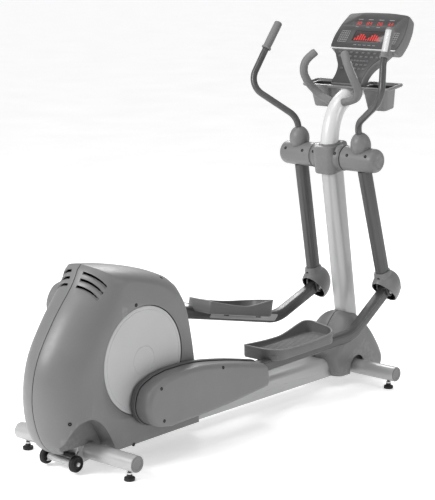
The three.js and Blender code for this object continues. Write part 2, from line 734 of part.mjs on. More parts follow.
// One bin as a tapered block below the tray's deck; wall insets it and leaves the top open.
function binShape(side, wall, depth) {
  const x0 = BIN.front + wall;
  const x1 = TRAY.length - BIN.rear - wall;
  const y0 = BIN.inner + wall;
  const y1 = BIN.outer - wall;
  const top = wall > 0 ? 1 : -TRAY.plate + 1;
  const ring = (z, taper) => {
    const a = [x0 + taper / 2, side * (y0 + taper)];
    const b = [x1 - taper / 2, side * (y1 - taper)];
    return [vec(a[0], a[1], z), vec(b[0], a[1], z), vec(b[0], b[1], z), vec(a[0], b[1], z)];
  };
  return loftGeometry([ring(-depth, BIN.taper), ring(top, 0)]);
}

function loftGeometry(rings) {
  const made = loft(rings).getMesh();
  const g = new THREE.BufferGeometry();
  g.setAttribute("position", new THREE.BufferAttribute(Float32Array.from(made.vertProperties), 3));
  g.setIndex(new THREE.BufferAttribute(Uint32Array.from(made.triVerts), 1));
  return g;
}

function fixedBar(name, side) {
  const anchors = [
    [1548, 26, 1214],
    [1556, 86, 1233],
    [1537, 118, 1265],
    [1501, 128, 1304],
    [1474, 125, 1348],
    [1469, 107, 1391],
    [1493, 75, 1429],
  ];
  const path = new THREE.CatmullRomCurve3(anchors.map(([x, y, z]) => vec(x, side * y, z)));
  const bar = sweep(path, FIXED_BAR_RADIUS, FIXED_BAR_WALL, 12, 8);
  place(group, name, cut(bar, mastTubeBody(GAP, 0)), FINISH.rubber);
}

// ---------------------------------------------------------------- casings

// Outline of the drive housing at its seam and at its flat sides, point for point alike.
const HOUSING_SEAM = {
  rear: [[-112, 58], [-181, 136], [-216, 270], [-192, 416], [-112, 553], [-15, 672], [16, 728]],
  top: [[34, 746], [131, 733], [234, 712], [330, 686], [408, 656]],
  front: [[440, 632], [482, 555], [515, 430], [535, 300], [548, 160], [552, 72]],
};
const HOUSING_SIDE = {
  rear: [[-40, 66], [-66, 136], [-56, 270], [-33, 410], [32, 524], [100, 620], [120, 662]],
  top: [[132, 673], [168, 674], [246, 655], [322, 628], [366, 598]],
  front: [[390, 578], [430, 525], [458, 420], [480, 300], [500, 160], [506, 72]],
};

function housingOutline(part, wall) {
  const points = [
    ...smooth(part.rear, 9),
    ...smooth(part.top, 4),
    ...smooth(part.front, 5),
  ];
  return wall > 0 ? inset(points, wall) : points;
}

function pocketShape(grow) {
  const { x, halfLength, top } = POCKET;
  const shape = new THREE.Shape();
  shape.moveTo(x - halfLength - grow, -10);
  shape.lineTo(x - halfLength - grow, STABILISER_HEIGHT);
  shape.bezierCurveTo(
    x - halfLength - grow,
    top + grow,
    x - 40,
    top + grow,
    x + 10,
    top - 4 + grow,
  );
  shape.quadraticCurveTo(x + 70, top - 20 + grow, x + halfLength - 8 + grow, 79);
  shape.lineTo(x + halfLength + 6 + grow, 60);
  shape.lineTo(x + halfLength + 6 + grow, -10);
  shape.closePath();
  return shape;
}

function driveHousing(name, side) {
  const outlines = (wall) => [HOUSING_SEAM, HOUSING_SIDE].map((part) => housingOutline(part, wall));
  const outside = halfDome(...outlines(0), HOUSING_HALF_WIDTH, side, 5);
  const innerHalf = HOUSING_HALF_WIDTH - SHELL_WALL;
  const cavity = halfDome(...outlines(SHELL_WALL), innerHalf, side, 3).add(seamFiller(side));
  const far = side * (HOUSING_HALF_WIDTH + 20);
  const pocket = slabY(pocketShape(0), side * POCKET.inner, far);
  const pocketLiner = slabY(pocketShape(SHELL_WALL), side * (POCKET.inner - SHELL_WALL), far + side * 5);
  const well = barY(DISC_RADIUS + DISC_WELL_GAP, side * 60, far, CRANK_X, CRANK_Z, 36);
  const tube = barY(STABILISER_RADIUS + RUNNING_GAP, -200, 200, 0, STABILISER_HEIGHT, STABILISER_SIDES);
  const spine = spineRun(spineSection(GAP), SPINE_REAR - 1, 700);
  const bracket = block(-130, 20, -WHEEL_SPACING, WHEEL_SPACING, -1, STABILISER_HEIGHT + 26);
  const shell = cut(outside, cut(cavity, pocketLiner), pocket, well);
  place(group, name, cut(shell, tube, spine, bracket), FINISH.casing);
}

// Opens the cavity through the seam plane.
function seamFiller(side) {
  const shape = new THREE.Shape(housingOutline(HOUSING_SEAM, SHELL_WALL));
  return slabY(shape, -side, side);
}

const SHROUD_SEAM = {
  rear: [[1446, 44], [1412, 130], [1425, 172], [1480, 232], [1545, 296], [1585, 304]],
  front: [[1640, 292], [1712, 232], [1776, 150], [1806, 84], [1798, 42]],
};
const SHROUD_SIDE = {
  rear: [[1478, 44], [1450, 110], [1466, 150], [1505, 186], [1545, 212], [1575, 220]],
  front: [[1620, 216], [1680, 172], [1726, 116], [1752, 74], [1748, 42]],
};

function shroudOutline(part, wall) {
  const points = [...smooth(part.rear, 8), ...smooth(part.front, 6)];
  return wall > 0 ? inset(points, wall) : points;
}

function baseShroud(name, side) {
  const outer = [SHROUD_SEAM, SHROUD_SIDE].map((part) => shroudOutline(part, 0));
  const inner = [SHROUD_SEAM, SHROUD_SIDE].map((part) => shroudOutline(part, SHELL_WALL));
  const outside = halfDome(...outer, SHROUD_HALF_WIDTH, side, 4);
  const filler = slabY(new THREE.Shape(inner[0]), -side, side);
  const cavity = halfDome(...inner, SHROUD_HALF_WIDTH - SHELL_WALL, side, 3).add(filler);
  const r = SHROUD_ARCH_RADIUS;
  const [archInner, archOuter] = [side * (SPINE_WIDTH / 2 + 6), side * (SHROUD_HALF_WIDTH + 20)];
  const arch = union(
    barY(r, archInner, archOuter, WHEELBASE, STABILISER_HEIGHT, 24),
    block(WHEELBASE - r, WHEELBASE + r, archInner, archOuter, 0, STABILISER_HEIGHT),
  );
  const spine = spineRun(spineSection(GAP), 1300, SPINE_FRONT + GAP);
  const post = mastPostBody(RUNNING_GAP, SPINE_TOP - 20, 420);
  const tube = barY(STABILISER_RADIUS + GAP, -200, 200, WHEELBASE, STABILISER_HEIGHT, STABILISER_SIDES);
  const below = block(1300, 1900, -200, 200, -50, SPINE_BOTTOM + 2);
  const body = cut(outside, cavity, arch, spine, post, tube, below);
  place(group, name, body, FINISH.casing);
}

// ---------------------------------------------------------------- drive

function ring(outer, inner, y0, y1, x, z, sides = SHAFT_SIDES) {
  const profile = [
    [inner, y0],
    [outer, y0],
    [outer, y1],
    [inner, y1],
    [inner, y0],
  ];
  return turnedY(profile, x, z, sides);
}

function bearing(name, side) {
  const y = side * (UPRIGHT.half - UPRIGHT.thickness / 2);
  const body = ring(BEARING_RADIUS, CRANK_AXLE_RADIUS + GAP, y - 9, y + 9, CRANK_X, CRANK_Z);
  place(group, name, body, FINISH.steel);
}

function crankAxle() {
  const body = barY(CRANK_AXLE_RADIUS, -AXLE_END, AXLE_END, CRANK_X, CRANK_Z, SHAFT_SIDES);
  place(group, "crank_axle", body, FINISH.steel);
}

function crankPinAt(side) {
  const angle = radians(CRANK_REST) + (side === LEFT ? Math.PI : 0);
  return { x: CRANK_X + CRANK_RADIUS * Math.cos(angle), z: CRANK_Z + CRANK_RADIUS * Math.sin(angle) };
}

function crankArm(name, side) {
  const pin = crankPinAt(side);
  const { width, thickness, outerFace } = CRANK_ARM;
  const shape = racetrack(CRANK_X, CRANK_Z, width / 2 + 6, pin.x, pin.z, width / 2);
  const arm = slabY(shape, side * (outerFace - thickness), side * outerFace, 8);
  const bore = barY(CRANK_AXLE_RADIUS + GAP, -200, 200, CRANK_X, CRANK_Z, SHAFT_SIDES);
  const stud = barY(CRANK_PIN.radius, side * (outerFace - 4), side * CRANK_PIN_END, pin.x, pin.z, 20);
  place(group, name, union(cut(arm, bore), stud), FINISH.steel);
}

function crankDisc(name, side) {
  const pin = crankPinAt(side);
  const back = DISC_FACE - DISC_THICKNESS;
  const profile = [
    [0, side * back],
    [DISC_RADIUS, side * back],
    [DISC_RADIUS, side * (DISC_FACE - 2)],
    [DISC_RADIUS - 2, side * DISC_FACE],
    [0, side * (DISC_FACE + 3)],
  ];
  const hole = barY(CRANK_PIN.radius + RUNNING_GAP, 0, side * 200, pin.x, pin.z, 20);
  place(group, name, cut(turnedY(profile, CRANK_X, CRANK_Z, 36), hole), FINISH.disc);
}

function drivePulley() {
  const [y0, y1] = [DRIVE_BELT_Y - PULLEY_HALF_WIDTH, DRIVE_BELT_Y + PULLEY_HALF_WIDTH];
  const web = 4;
  const bore = CRANK_AXLE_RADIUS + GAP;
  const profile = [
    [bore, y0],
    [bore + 16, y0],
    [bore + 16, DRIVE_BELT_Y - web],
    [DRIVE_PULLEY_RADIUS - 12, DRIVE_BELT_Y - web],
    [DRIVE_PULLEY_RADIUS - 8, y0],
    [DRIVE_PULLEY_RADIUS, y0],
    [DRIVE_PULLEY_RADIUS, y1],
    [DRIVE_PULLEY_RADIUS - 8, y1],
    [DRIVE_PULLEY_RADIUS - 12, DRIVE_BELT_Y + web],
    [bore + 16, DRIVE_BELT_Y + web],
    [bore + 16, y1],
    [bore, y1],
    [bore, y0],
  ];
  place(group, "drive_pulley", turnedY(profile, CRANK_X, CRANK_Z, PULLEY_SIDES), FINISH.black);
}

function jackshaft() {
  const { x, z, radius, small, large } = JACKSHAFT;
  const end = UPRIGHT.half + 6;
  const profile = [
    [0, -end],
    [radius, -end],
    [radius, GENERATOR_BELT_Y - PULLEY_HALF_WIDTH],
    [large, GENERATOR_BELT_Y - PULLEY_HALF_WIDTH],
    [large, GENERATOR_BELT_Y + PULLEY_HALF_WIDTH],
    [radius, GENERATOR_BELT_Y + PULLEY_HALF_WIDTH],
    [radius, DRIVE_BELT_Y - PULLEY_HALF_WIDTH],
    [small, DRIVE_BELT_Y - PULLEY_HALF_WIDTH],
    [small, DRIVE_BELT_Y + PULLEY_HALF_WIDTH],
    [radius, DRIVE_BELT_Y + PULLEY_HALF_WIDTH],
    [radius, end],
    [0, end],
  ];
  place(group, "jackshaft", turnedY(profile, x, z, SHAFT_SIDES), FINISH.steel);
}

function generatorBody() {
  const { x, z, radius, rotor } = GENERATOR;
  const back = UPRIGHT.half - UPRIGHT.thickness - GAP;
  const blind = back - 10;
  const profile = [
    [rotor + GAP, GENERATOR_FACE],
    [radius - 8, GENERATOR_FACE],
    [radius, GENERATOR_FACE + 8],
    [radius, back - 8],
    [radius - 8, back],
    [0, back],
    [0, blind],
    [rotor + GAP, blind],
    [rotor + GAP, GENERATOR_FACE],
  ];
  place(group, "generator_body", turnedY(profile, x, z, SHAFT_SIDES), FINISH.darkCasing);
}

function generatorRotor() {
  const { x, z, rotor, pulley } = GENERATOR;
  const profile = [
    [0, GENERATOR_BELT_Y - PULLEY_HALF_WIDTH - 4],
    [rotor, GENERATOR_BELT_Y - PULLEY_HALF_WIDTH - 4],
    [rotor, GENERATOR_BELT_Y - PULLEY_HALF_WIDTH],
    [pulley, GENERATOR_BELT_Y - PULLEY_HALF_WIDTH],
    [pulley, GENERATOR_BELT_Y + PULLEY_HALF_WIDTH],
    [rotor, GENERATOR_BELT_Y + PULLEY_HALF_WIDTH],
    [rotor, UPRIGHT.half - UPRIGHT.thickness - 14],
    [0, UPRIGHT.half - UPRIGHT.thickness - 14],
  ];
  place(group, "generator_rotor", turnedY(profile, x, z, SHAFT_SIDES), FINISH.steel);
}

function belt(name, y, a, ra, b, rb) {
  const loop = (grow) => racetrack(a.x, a.z, ra + grow, b.x, b.z, rb + grow);
  const [y0, y1] = [y - BELT_WIDTH / 2, y + BELT_WIDTH / 2];
  const outer = slabY(loop(BELT_GAP + BELT_THICKNESS), y0, y1, 8);
  const inner = slabY(loop(BELT_GAP), y0 - 1, y1 + 1, 8);
  place(group, name, cut(outer, inner), FINISH.black);
}

// ---------------------------------------------------------------- swing arms

// Arm frame: origin on the pivot axis, Z up the arm, X forward, Y in the trainer's own frame.
function armGroup(side) {
  const arm = new THREE.Group();
  arm.position.set(PIVOT_X, 0, PIVOT_Z);
  arm.rotation.y = -radians(SWING_REST[side]);
  group.add(arm);
  return arm;
}

function hubBody(side, grow = 0) {
  const inner = COLLAR_HALF_WIDTH + RUNNING_GAP;
  const profile = [[0, side * (HUB_END + grow)]];
  const rounding = 4;
  for (let k = 0; k <= rounding; k++) {
    const a = (k / rounding) * (Math.PI / 2);
    const r = HUB_END_RADIUS + (HUB_RADIUS - 2 - HUB_END_RADIUS) * Math.sin(a) + grow;
    profile.push([r, side * (HUB_END - 26 + 26 * Math.cos(a) + grow)]);
  }
  profile.push([HUB_RADIUS + grow, side * inner]);
  profile.push([0, side * inner]);
  return turnedY(profile, 0, 0, 20);
}

function pivotHub(arm, name, side) {
  const inner = COLLAR_HALF_WIDTH;
  const bore = barY(PIVOT_SHAFT_RADIUS + GAP, side * (inner - 1), side * HUB_BORE_END, 0, 0);
  const { depth, width } = SWING_TUBE;
  const socket = ovalPost(depth + 2 * GAP, width + 2 * GAP, -200, SWING_TUBE.top + 8 + GAP);
  const barSocket = barZ(HANDLEBAR_RADIUS + GAP, HANDLEBAR_FOOT - GAP, 200, 5, side * ARM_Y, 16);
  const body = cut(hubBody(side), bore, socket.translate([0, side * ARM_Y, 0]), barSocket);
  place(arm, name, body, FINISH.casing);
}

function swingTube(arm, name, side) {
  const { depth, width, wall, top, clevisTop } = SWING_TUBE;
  const upper = top + 8;
  const outer = ovalPost(depth, width, clevisTop, upper);
  const bore = ovalPost(depth - 2 * wall, width - 2 * wall, clevisTop + 12, upper + 1);
  const tube = cut(outer, bore);
  const ears = [RIGHT, LEFT].map((edge) => {
    const shape = racetrack(0, -SWING_LENGTH, CLEVIS.radius, 0, clevisTop - 28, CLEVIS.radius - 0.5);
    return slabY(shape, edge * CLEVIS.innerHalf, edge * CLEVIS.outerHalf, 5);
  });
  const crown = block(-20, 20, -CLEVIS.outerHalf, CLEVIS.outerHalf, clevisTop - 10, clevisTop + 4);
  const pin = barY(KNUCKLE_PIN_RADIUS + GAP, -100, 100, 0, -SWING_LENGTH, 16);
  const fork = cut(union(crown, ...ears), pin);
  place(arm, name, union(tube, fork).translate([0, side * ARM_Y, 0]), FINISH.darkTube);
}

function knucklePin(arm, name, side) {
  const half = CLEVIS.outerHalf + 3;
  const y = side * ARM_Y;
  const body = barY(KNUCKLE_PIN_RADIUS, y - half, y + half, 0, -SWING_LENGTH, 16);
  place(arm, name, body, FINISH.steel);
}

function hubBulb(arm, name, side) {
  const { halfWidth, centre, halfHeight } = BULB;
  const egg = ellipsoid(5, side * ARM_Y, centre, halfWidth, halfWidth - 3, halfHeight, 14, 8);
  const room = HANDLEBAR_RADIUS + 2 * GAP;
  const bore = bentTube(handlebarPoints(side), HANDLEBAR_BEND, room, 0, HANDLEBAR_STEPS, 8);
  const below = block(-100, 100, 0, side * 400, -200, 12);
  place(arm, name, cut(egg, hubBody(side, GAP), bore, below), FINISH.casing);
}

function handlebarPoints(side) {
  const y = side * ARM_Y;
  const at = (p) => vec(p.x, side * (ARM_Y + p.y), p.z);
  return [
    vec(5, y, HANDLEBAR_FOOT),
    vec(5, y, HANDLEBAR_KNEE),
    at(HANDLEBAR_ELBOW),
    at(HANDLEBAR_RING),
    at(HANDLEBAR_TIP),
  ];
}

function handlebar(arm, name, side) {
  const points = handlebarPoints(side);
  const end = points[4].clone().lerp(points[3], 0.06);
  const path = [...points.slice(0, 4), end];
  const body = bentTube(path, HANDLEBAR_BEND, HANDLEBAR_RADIUS, HANDLEBAR_WALL, HANDLEBAR_STEPS, 8);
  place(arm, name, body, FINISH.darkTube);
}

// Rubber grip, closed at the top, with a ring at its foot.
function handGrip(arm, name, side) {
  const points = handlebarPoints(side);
  const axis = points[4].clone().sub(points[3]);
  const length = axis.length();
  const start = length * 0.16;
  const bore = HANDLEBAR_RADIUS + GAP;
  const blind = length * 0.94 + 1;
  const profile = [
    [bore, start],
    [GRIP_RING_RADIUS, start],
    [GRIP_RING_RADIUS, start + GRIP_RING_HEIGHT],
    [GRIP_RADIUS, start + GRIP_RING_HEIGHT + 3],
    [GRIP_RADIUS, length - 4],
    [GRIP_RADIUS - 5, length],
    [0, length],
    [0, blind],
    [bore, blind],
    [bore, start],
  ];
  const g = turnedZ(profile, 16);
  const turn = new THREE.Quaternion().setFromUnitVectors(vec(0, 0, 1), axis.normalize());
  g.applyQuaternion(turn).translate(points[3].x, points[3].y, points[3].z);
  place(arm, name, solid(g), FINISH.rubber);
}

// Hood over the knuckle: an egg-shaped shell with its mouth to the rear and below.
function knuckleHood(arm, name, side) {
  const { halfLength, halfWidth, halfHeight, wall, forward, rise } = HOOD;
  const y = side * ARM_Y;
  const z = -SWING_LENGTH;
  const shell = cut(
    ellipsoid(forward, y, z + rise, halfLength, halfWidth, halfHeight, 14, 8),
    ellipsoid(forward, y, z + rise, halfLength - wall, halfWidth - wall, halfHeight - wall, 14, 8),
  );
  const { depth, width } = SWING_TUBE;
  const collar = ovalPost(depth + 12, width + 12, z + 70, z + 92).translate([0, y, 0]);
  const bore = ovalPost(depth + 3 * GAP, width + 3 * GAP, z + 20, z + 120);
  const mouth = solid(
    new THREE.BoxGeometry(400, 400, 300)
      .translate(0, 0, -150)
      .rotateY(radians(MOUTH.tilt))
      .translate(MOUTH.forward, y, z + 2),
  );
  const body = cut(union(shell, collar), bore.translate([0, y, 0]), mouth);
  place(arm, name, body, FINISH.casing);
}

// ---------------------------------------------------------------- pedal links

// Link frame: origin on the crank pin, X along the line to the knuckle, Z square to it.
function linkGroup(side) {
  const swing = radians(SWING_REST[side]);
  const pitch = radians(LINK_REST[side]);
  const link = new THREE.Group();
  const knuckleX = PIVOT_X + SWING_LENGTH * Math.sin(swing);
  const knuckleZ = PIVOT_Z - SWING_LENGTH * Math.cos(swing);
  link.position.set(knuckleX - LINK_LENGTH * Math.cos(pitch), 0, knuckleZ - LINK_LENGTH * Math.sin(pitch));
  link.rotation.y = -pitch;
  group.add(link);
  return link;
}

function linkTubeSolid(side, grow, wall) {
  const y = side * ARM_Y;
  const points = [vec(0, y, 0), vec(LINK_BEND.along, y, -LINK_BEND.below), vec(LINK_LENGTH, y, 0)];
  const half = { w: LINK_TUBE.width / 2 + grow - wall, h: LINK_TUBE.height / 2 + grow - wall };
  const rear = points[1].clone().sub(points[0]).normalize();
  const front = points[2].clone().sub(points[1]).normalize();
  const frames = [];
  const push = (centre, along) => frames.push({ centre, up: vec(-along.z, 0, along.x) });
  const plugs = wall > 0 ? LINK_TUBE.plugs : { rear: 26, front: KNUCKLE_EYE.radius - 8 };
  push(points[0].clone().addScaledVector(rear, plugs.rear), rear);
  const bend = 4;
  for (let k = 0; k <= bend; k++) {
    const t = k / bend;
    const a = points[1].clone().addScaledVector(rear, -60);
    const b = points[1].clone().addScaledVector(front, 60);
    const centre = new THREE.QuadraticBezierCurve3(a, points[1], b).getPoint(t);
    push(centre, rear.clone().lerp(front, t).normalize());
  }
  push(points[2].clone().addScaledVector(front, -plugs.front), front);
  const rings = frames.map(({ centre, up }) =>
    ovalRing(2 * half.h, 2 * half.w, 0, 12, 4).map((p) =>
      centre.clone().addScaledVector(up, p.x).add(vec(0, p.y, 0)),
    ),
  );
  return loft(rings);
}

function pedalLink(link, name, side) {
  const y = side * ARM_Y;
  const bossHalf = LINK_BOSS.halfWidth;
  const boss = barY(LINK_BOSS.radius, y - bossHalf, y + bossHalf, 0, 0, 20);
  const eyeHalf = KNUCKLE_EYE.halfWidth;
  const eye = barY(KNUCKLE_EYE.radius, y - eyeHalf, y + eyeHalf, LINK_LENGTH, 0, 20);
  const pin = barY(KNUCKLE_PIN_RADIUS + GAP, y - 60, y + 60, LINK_LENGTH, 0, 16);
  const clevisRoom = [RIGHT, LEFT].map((edge) => {
    const inner = y + edge * KNUCKLE_EYE.halfWidth;
    return block(LINK_LENGTH - 46, LINK_LENGTH + 40, inner, y + edge * 60, -60, 60);
  });
  const bearingBore = barY(CRANK_PIN.radius + RUNNING_GAP, y - 60, y + 60, 0, 0, 20);
  const drainX = 2 * LINK_TUBE.plugs.rear;
  const drain = barZ(LINK_TUBE.drain, -60, -drainX * Math.tan(LINK_DROP), drainX, y, 10);
  const tube = cut(linkTubeSolid(side, 0, 0), linkTubeSolid(side, 0, LINK_TUBE.wall), drain);
  const frame = cut(union(tube, boss), ...clevisRoom);
  place(link, name, cut(union(frame, eye), pin, bearingBore), FINISH.darkTube);
}

// Outline of the pedal-link cover in the link frame.
function coverOutline(shrink) {
  const points = [
    ...smooth([[10, -96], [-78, -62], [-116, 8], [-84, 82], [-8, 108]], 9),
    ...smooth([[60, 110], [200, 92], [380, 42], [560, -22]], 5),
    ...smooth([[582, -46], [584, -108]], 1),
    ...smooth([[566, -132], [300, -122], [60, -100]], 3),
  ];
  return new THREE.Shape(shrink > 0 ? inset(points, shrink) : points);
}

function coverRoom(side) {
  const room = linkTubeSolid(side, COVER.tubeRoom, 0);
  const bossHalf = LINK_BOSS.halfWidth + COVER.tubeRoom;
  const y = side * ARM_Y;
  const boss = barY(LINK_BOSS.radius + COVER.tubeRoom, y - bossHalf, y + bossHalf, 0, 0, 20);
  return union(room, boss);
}

function coverInner(link, name, side) {
  const tray = slabY(coverOutline(0), side * COVER.inner, side * (COVER.split - GAP));
  const room = slabY(coverOutline(SHELL_WALL), side * (COVER.inner + SHELL_WALL), side * COVER.split);
  const open = cut(tray, room);
  place(link, name, cut(open, coverRoom(side)), FINISH.darkCasing);
}

// Outer cover: a dish with a rounded edge, closed on the outside.
function coverOuter(link, name, side) {
  const rings = [];
  const inside = [];
  const { split, outer, bevel } = COVER;
  const levels = 3;
  const outline = (shrink) => coverOutline(shrink).getPoints();
  const at = (points, y) => points.map((p) => vec(p.x, side * y, p.y));
  rings.push(at(outline(6), split));
  inside.push(at(outline(6 + SHELL_WALL), split - 1));
  for (let k = 0; k <= levels; k++) {
    const a = (k / levels) * (Math.PI / 2);
    const shrink = 6 + bevel * (1 - Math.cos(a));
    const y = outer - bevel + bevel * Math.sin(a);
    rings.push(at(outline(shrink), y));
    inside.push(at(outline(shrink + SHELL_WALL), y - SHELL_WALL));
  }
  place(link, name, cut(loft(rings), loft(inside), coverRoom(side)), FINISH.casing);
}

// Pedal frame: X along the rear run of the link tube, Z square to it; its floor rests on the tube.
function pedalOutline(shrink) {
  const { rear, length, inner, outer } = PEDAL;
  const [x0, x1] = [rear + shrink, rear + length - shrink];
  const [y0, y1] = [inner + shrink, outer - shrink];
  const corner = (x, y, r, from) => {
    const points = [];
    for (let k = 0; k <= 4; k++) {
      const a = from + (k / 4) * (Math.PI / 2);
      points.push([x + r * Math.cos(a), y + r * Math.sin(a)]);
    }
    return points;
  };
  const small = 14 - Math.min(shrink, 8);
  const frontInner = 46 - shrink / 2;
  const frontOuter = 62 - shrink / 2;
  const rearOuter = 74 - shrink / 2;
  return [
    ...corner(x0 + small, y0 + small, small, Math.PI),
    [x0 + length * 0.35, y0],
    [x0 + length * 0.6, y0],
    ...corner(x1 - frontInner, y0 + frontInner, frontInner, 1.5 * Math.PI),
    ...corner(x1 - frontOuter, y1 - frontOuter, frontOuter, 0),
    [x0 + length * 0.6, y1],
    [x0 + length * 0.4, y1],
    ...corner(x0 + rearOuter, y1 - rearOuter, rearOuter, Math.PI / 2),
  ];
}

// Height of the pedal's rim above the middle of the link tube: it dips along the sides and is
// highest at the inner front corner.
function rimHeight(x, y) {
  const along = THREE.MathUtils.clamp((x - PEDAL.rear) / PEDAL.length, 0, 1);
  const across = THREE.MathUtils.clamp((PEDAL.outer - y) / (PEDAL.outer - PEDAL.inner), 0, 1);
  const rise = THREE.MathUtils.smoothstep(along, 0.5, 0.95);
  return PEDAL_RIM.end - PEDAL_RIM.dip * Math.sin(Math.PI * along) + rise * PEDAL_RIM.innerFront * across;
}

// Tub with a skirt below its floor; the link tube runs through the skirt and carries the floor.
function pedal(link, name, side) {
  const { floor, wall, under } = PEDAL;
  const seat = LINK_TUBE.height / 2 + 2 * GAP;
  const at = (points, height) => points.map(([x, y]) => vec(x, side * y, height(x, y)));
  const turned = (rings) => solid(loftGeometry(rings).rotateY(LINK_DROP));
  const tub = turned([
    at(pedalOutline(4), () => under),
    at(pedalOutline(0), () => under + 8),
    at(pedalOutline(0), rimHeight),
    at(pedalOutline(wall), rimHeight),
    at(pedalOutline(wall), () => seat + floor),
  ]);
  const below = turned([
    at(pedalOutline(wall + 4), () => under - 1),
    at(pedalOutline(wall + 4), () => seat),
  ]);
  place(link, name, cut(tub, below, linkTubeSolid(side, GAP, 0)), FINISH.darkCasing);
}

// ---------------------------------------------------------------- assembly

mainFrame();
stabiliser("rear_stabiliser", 0);
stabiliser("front_stabiliser", WHEELBASE);
for (const [end, x] of [["rear", 0], ["front", WHEELBASE]]) {
  foot(`foot_${end}_right`, x, RIGHT);
  foot(`foot_${end}_left`, x, LEFT);
}
wheelBracket();
mastPost();
mastTube();
pivotCollar();
pivotShaft();
consoleParts();
accessoryTray();
crankAxle();
drivePulley();
jackshaft();
generatorBody();
generatorRotor();
const crankCentre = { x: CRANK_X, z: CRANK_Z };
belt("drive_belt", DRIVE_BELT_Y, crankCentre, DRIVE_PULLEY_RADIUS, JACKSHAFT, JACKSHAFT.small);
belt("generator_belt", GENERATOR_BELT_Y, GENERATOR, GENERATOR.pulley, JACKSHAFT, JACKSHAFT.large);

for (const [word, side] of [["right", RIGHT], ["left", LEFT]]) {
  transportWheel(`transport_wheel_${word}`, side);
  fixedBar(`fixed_handlebar_${word}`, side);
  driveHousing(`drive_housing_${word}`, side);
  baseShroud(`base_shroud_${word}`, side);
  bearing(`crank_bearing_${word}`, side);
  crankArm(`crank_arm_${word}`, side);
  crankDisc(`crank_disc_${word}`, side);

  const arm = armGroup(side);
  pivotHub(arm, `pivot_hub_${word}`, side);
  swingTube(arm, `swing_tube_${word}`, side);
  knucklePin(arm, `knuckle_pin_${word}`, side);
  hubBulb(arm, `hub_bulb_${word}`, side);
  handlebar(arm, `handlebar_${word}`, side);
  handGrip(arm, `hand_grip_${word}`, side);
  knuckleHood(arm, `knuckle_hood_${word}`, side);

  const link = linkGroup(side);
  pedalLink(link, `pedal_link_${word}`, side);
  coverInner(link, `link_cover_inner_${word}`, side);
  coverOuter(link, `link_cover_outer_${word}`, side);
  pedal(link, `pedal_${word}`, side);
}

// The origin goes to the middle of the trainer's length, on the floor.
group.updateMatrixWorld(true);
const extent = new THREE.Box3().setFromObject(group, true);
group.position.set(-(extent.min.x + extent.max.x) / 2, 0, -extent.min.z);

export default group;
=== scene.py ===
import json
from math import acos, atan2, copysign, cos, dist, exp, hypot, pi, radians, sin, tan

import bmesh
import bpy
import numpy as np
from mathutils import Matrix, Vector
from numpy.linalg import norm

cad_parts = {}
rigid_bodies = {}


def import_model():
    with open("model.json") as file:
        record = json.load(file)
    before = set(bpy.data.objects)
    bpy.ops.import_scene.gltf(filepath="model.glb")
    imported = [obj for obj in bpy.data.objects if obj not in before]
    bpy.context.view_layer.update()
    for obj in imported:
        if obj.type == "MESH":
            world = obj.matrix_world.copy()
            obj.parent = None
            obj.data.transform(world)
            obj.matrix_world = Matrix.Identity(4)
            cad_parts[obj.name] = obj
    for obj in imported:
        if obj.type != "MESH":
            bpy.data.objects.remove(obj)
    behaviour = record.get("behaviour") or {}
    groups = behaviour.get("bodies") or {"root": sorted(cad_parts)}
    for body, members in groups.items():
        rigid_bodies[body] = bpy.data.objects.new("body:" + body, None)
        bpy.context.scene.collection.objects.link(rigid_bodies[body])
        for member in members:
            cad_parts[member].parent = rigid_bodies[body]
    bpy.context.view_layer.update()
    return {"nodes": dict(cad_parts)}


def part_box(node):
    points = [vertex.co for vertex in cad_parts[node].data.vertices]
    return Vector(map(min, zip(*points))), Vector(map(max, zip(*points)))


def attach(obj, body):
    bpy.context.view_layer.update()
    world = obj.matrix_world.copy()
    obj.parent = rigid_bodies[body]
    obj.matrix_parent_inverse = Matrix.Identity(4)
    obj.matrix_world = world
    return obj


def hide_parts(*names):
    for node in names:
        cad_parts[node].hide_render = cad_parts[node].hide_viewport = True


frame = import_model()

# Metres. +X runs forward to the console, +Y to the user's left, +Z up.
SIDES = (("right", -1), ("left", 1))

# ---- places taken from the frame


def middle(node):
    low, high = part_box(node)
    return (low + high) / 2


REAR_X = middle("rear_stabiliser").x
FRONT_X = middle("front_stabiliser").x
FLOOR_TUBE_Z = middle("rear_stabiliser").z
STABILISER_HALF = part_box("rear_stabiliser")[1].y
ENDS = {"rear": REAR_X, "front": FRONT_X}
PIVOT = middle("pivot_shaft")
CRANK = middle("crank_axle")
KNUCKLE = {side: middle(f"knuckle_pin_{side}") for side, _ in SIDES}
ARM_Y = KNUCKLE["left"].y

# ---- sizes shared with the CAD

TUBE_RADIUS = 0.03175
DISC_RADIUS = 0.203
DISC_FACE = 0.139
HOUSING_HALF = 0.141
SHROUD_HALF = 0.102
SHELL = 0.004
GAP = 0.0003
SWING_LENGTH = 0.615
LINK_LENGTH = 1.4575
LINK_PITCH = {"right": radians(7.24), "left": radians(-6.12)}
LINK_BEND = (1.195, -0.125)
LINK_DROP = atan2(-LINK_BEND[1], LINK_BEND[0])
MAST_LEAN = radians(9.75)
MAST_JOINT = 0.045  # above the pivot
CONSOLE = (1.6002, 1.2892)
CONSOLE_TILT = radians(49.76)

# ---- curves and outlines


def catmull(anchors, count):
    """Points along the smooth curve through a few anchors."""
    p = np.asarray(anchors, float)
    last = len(p) - 1
    out = []
    for t in np.linspace(0, last, count):
        i = min(int(t), last - 1)
        w = t - i
        a, b, c, d = p[max(i - 1, 0)], p[i], p[i + 1], p[min(i + 2, last)]
        v0, v1 = (c - a) / 2, (d - b) / 2
        out.append((2 * b - 2 * c + v0 + v1) * w**3 + (3 * c - 3 * b - 2 * v0 - v1) * w**2 + v0 * w + b)
    return np.array(out)


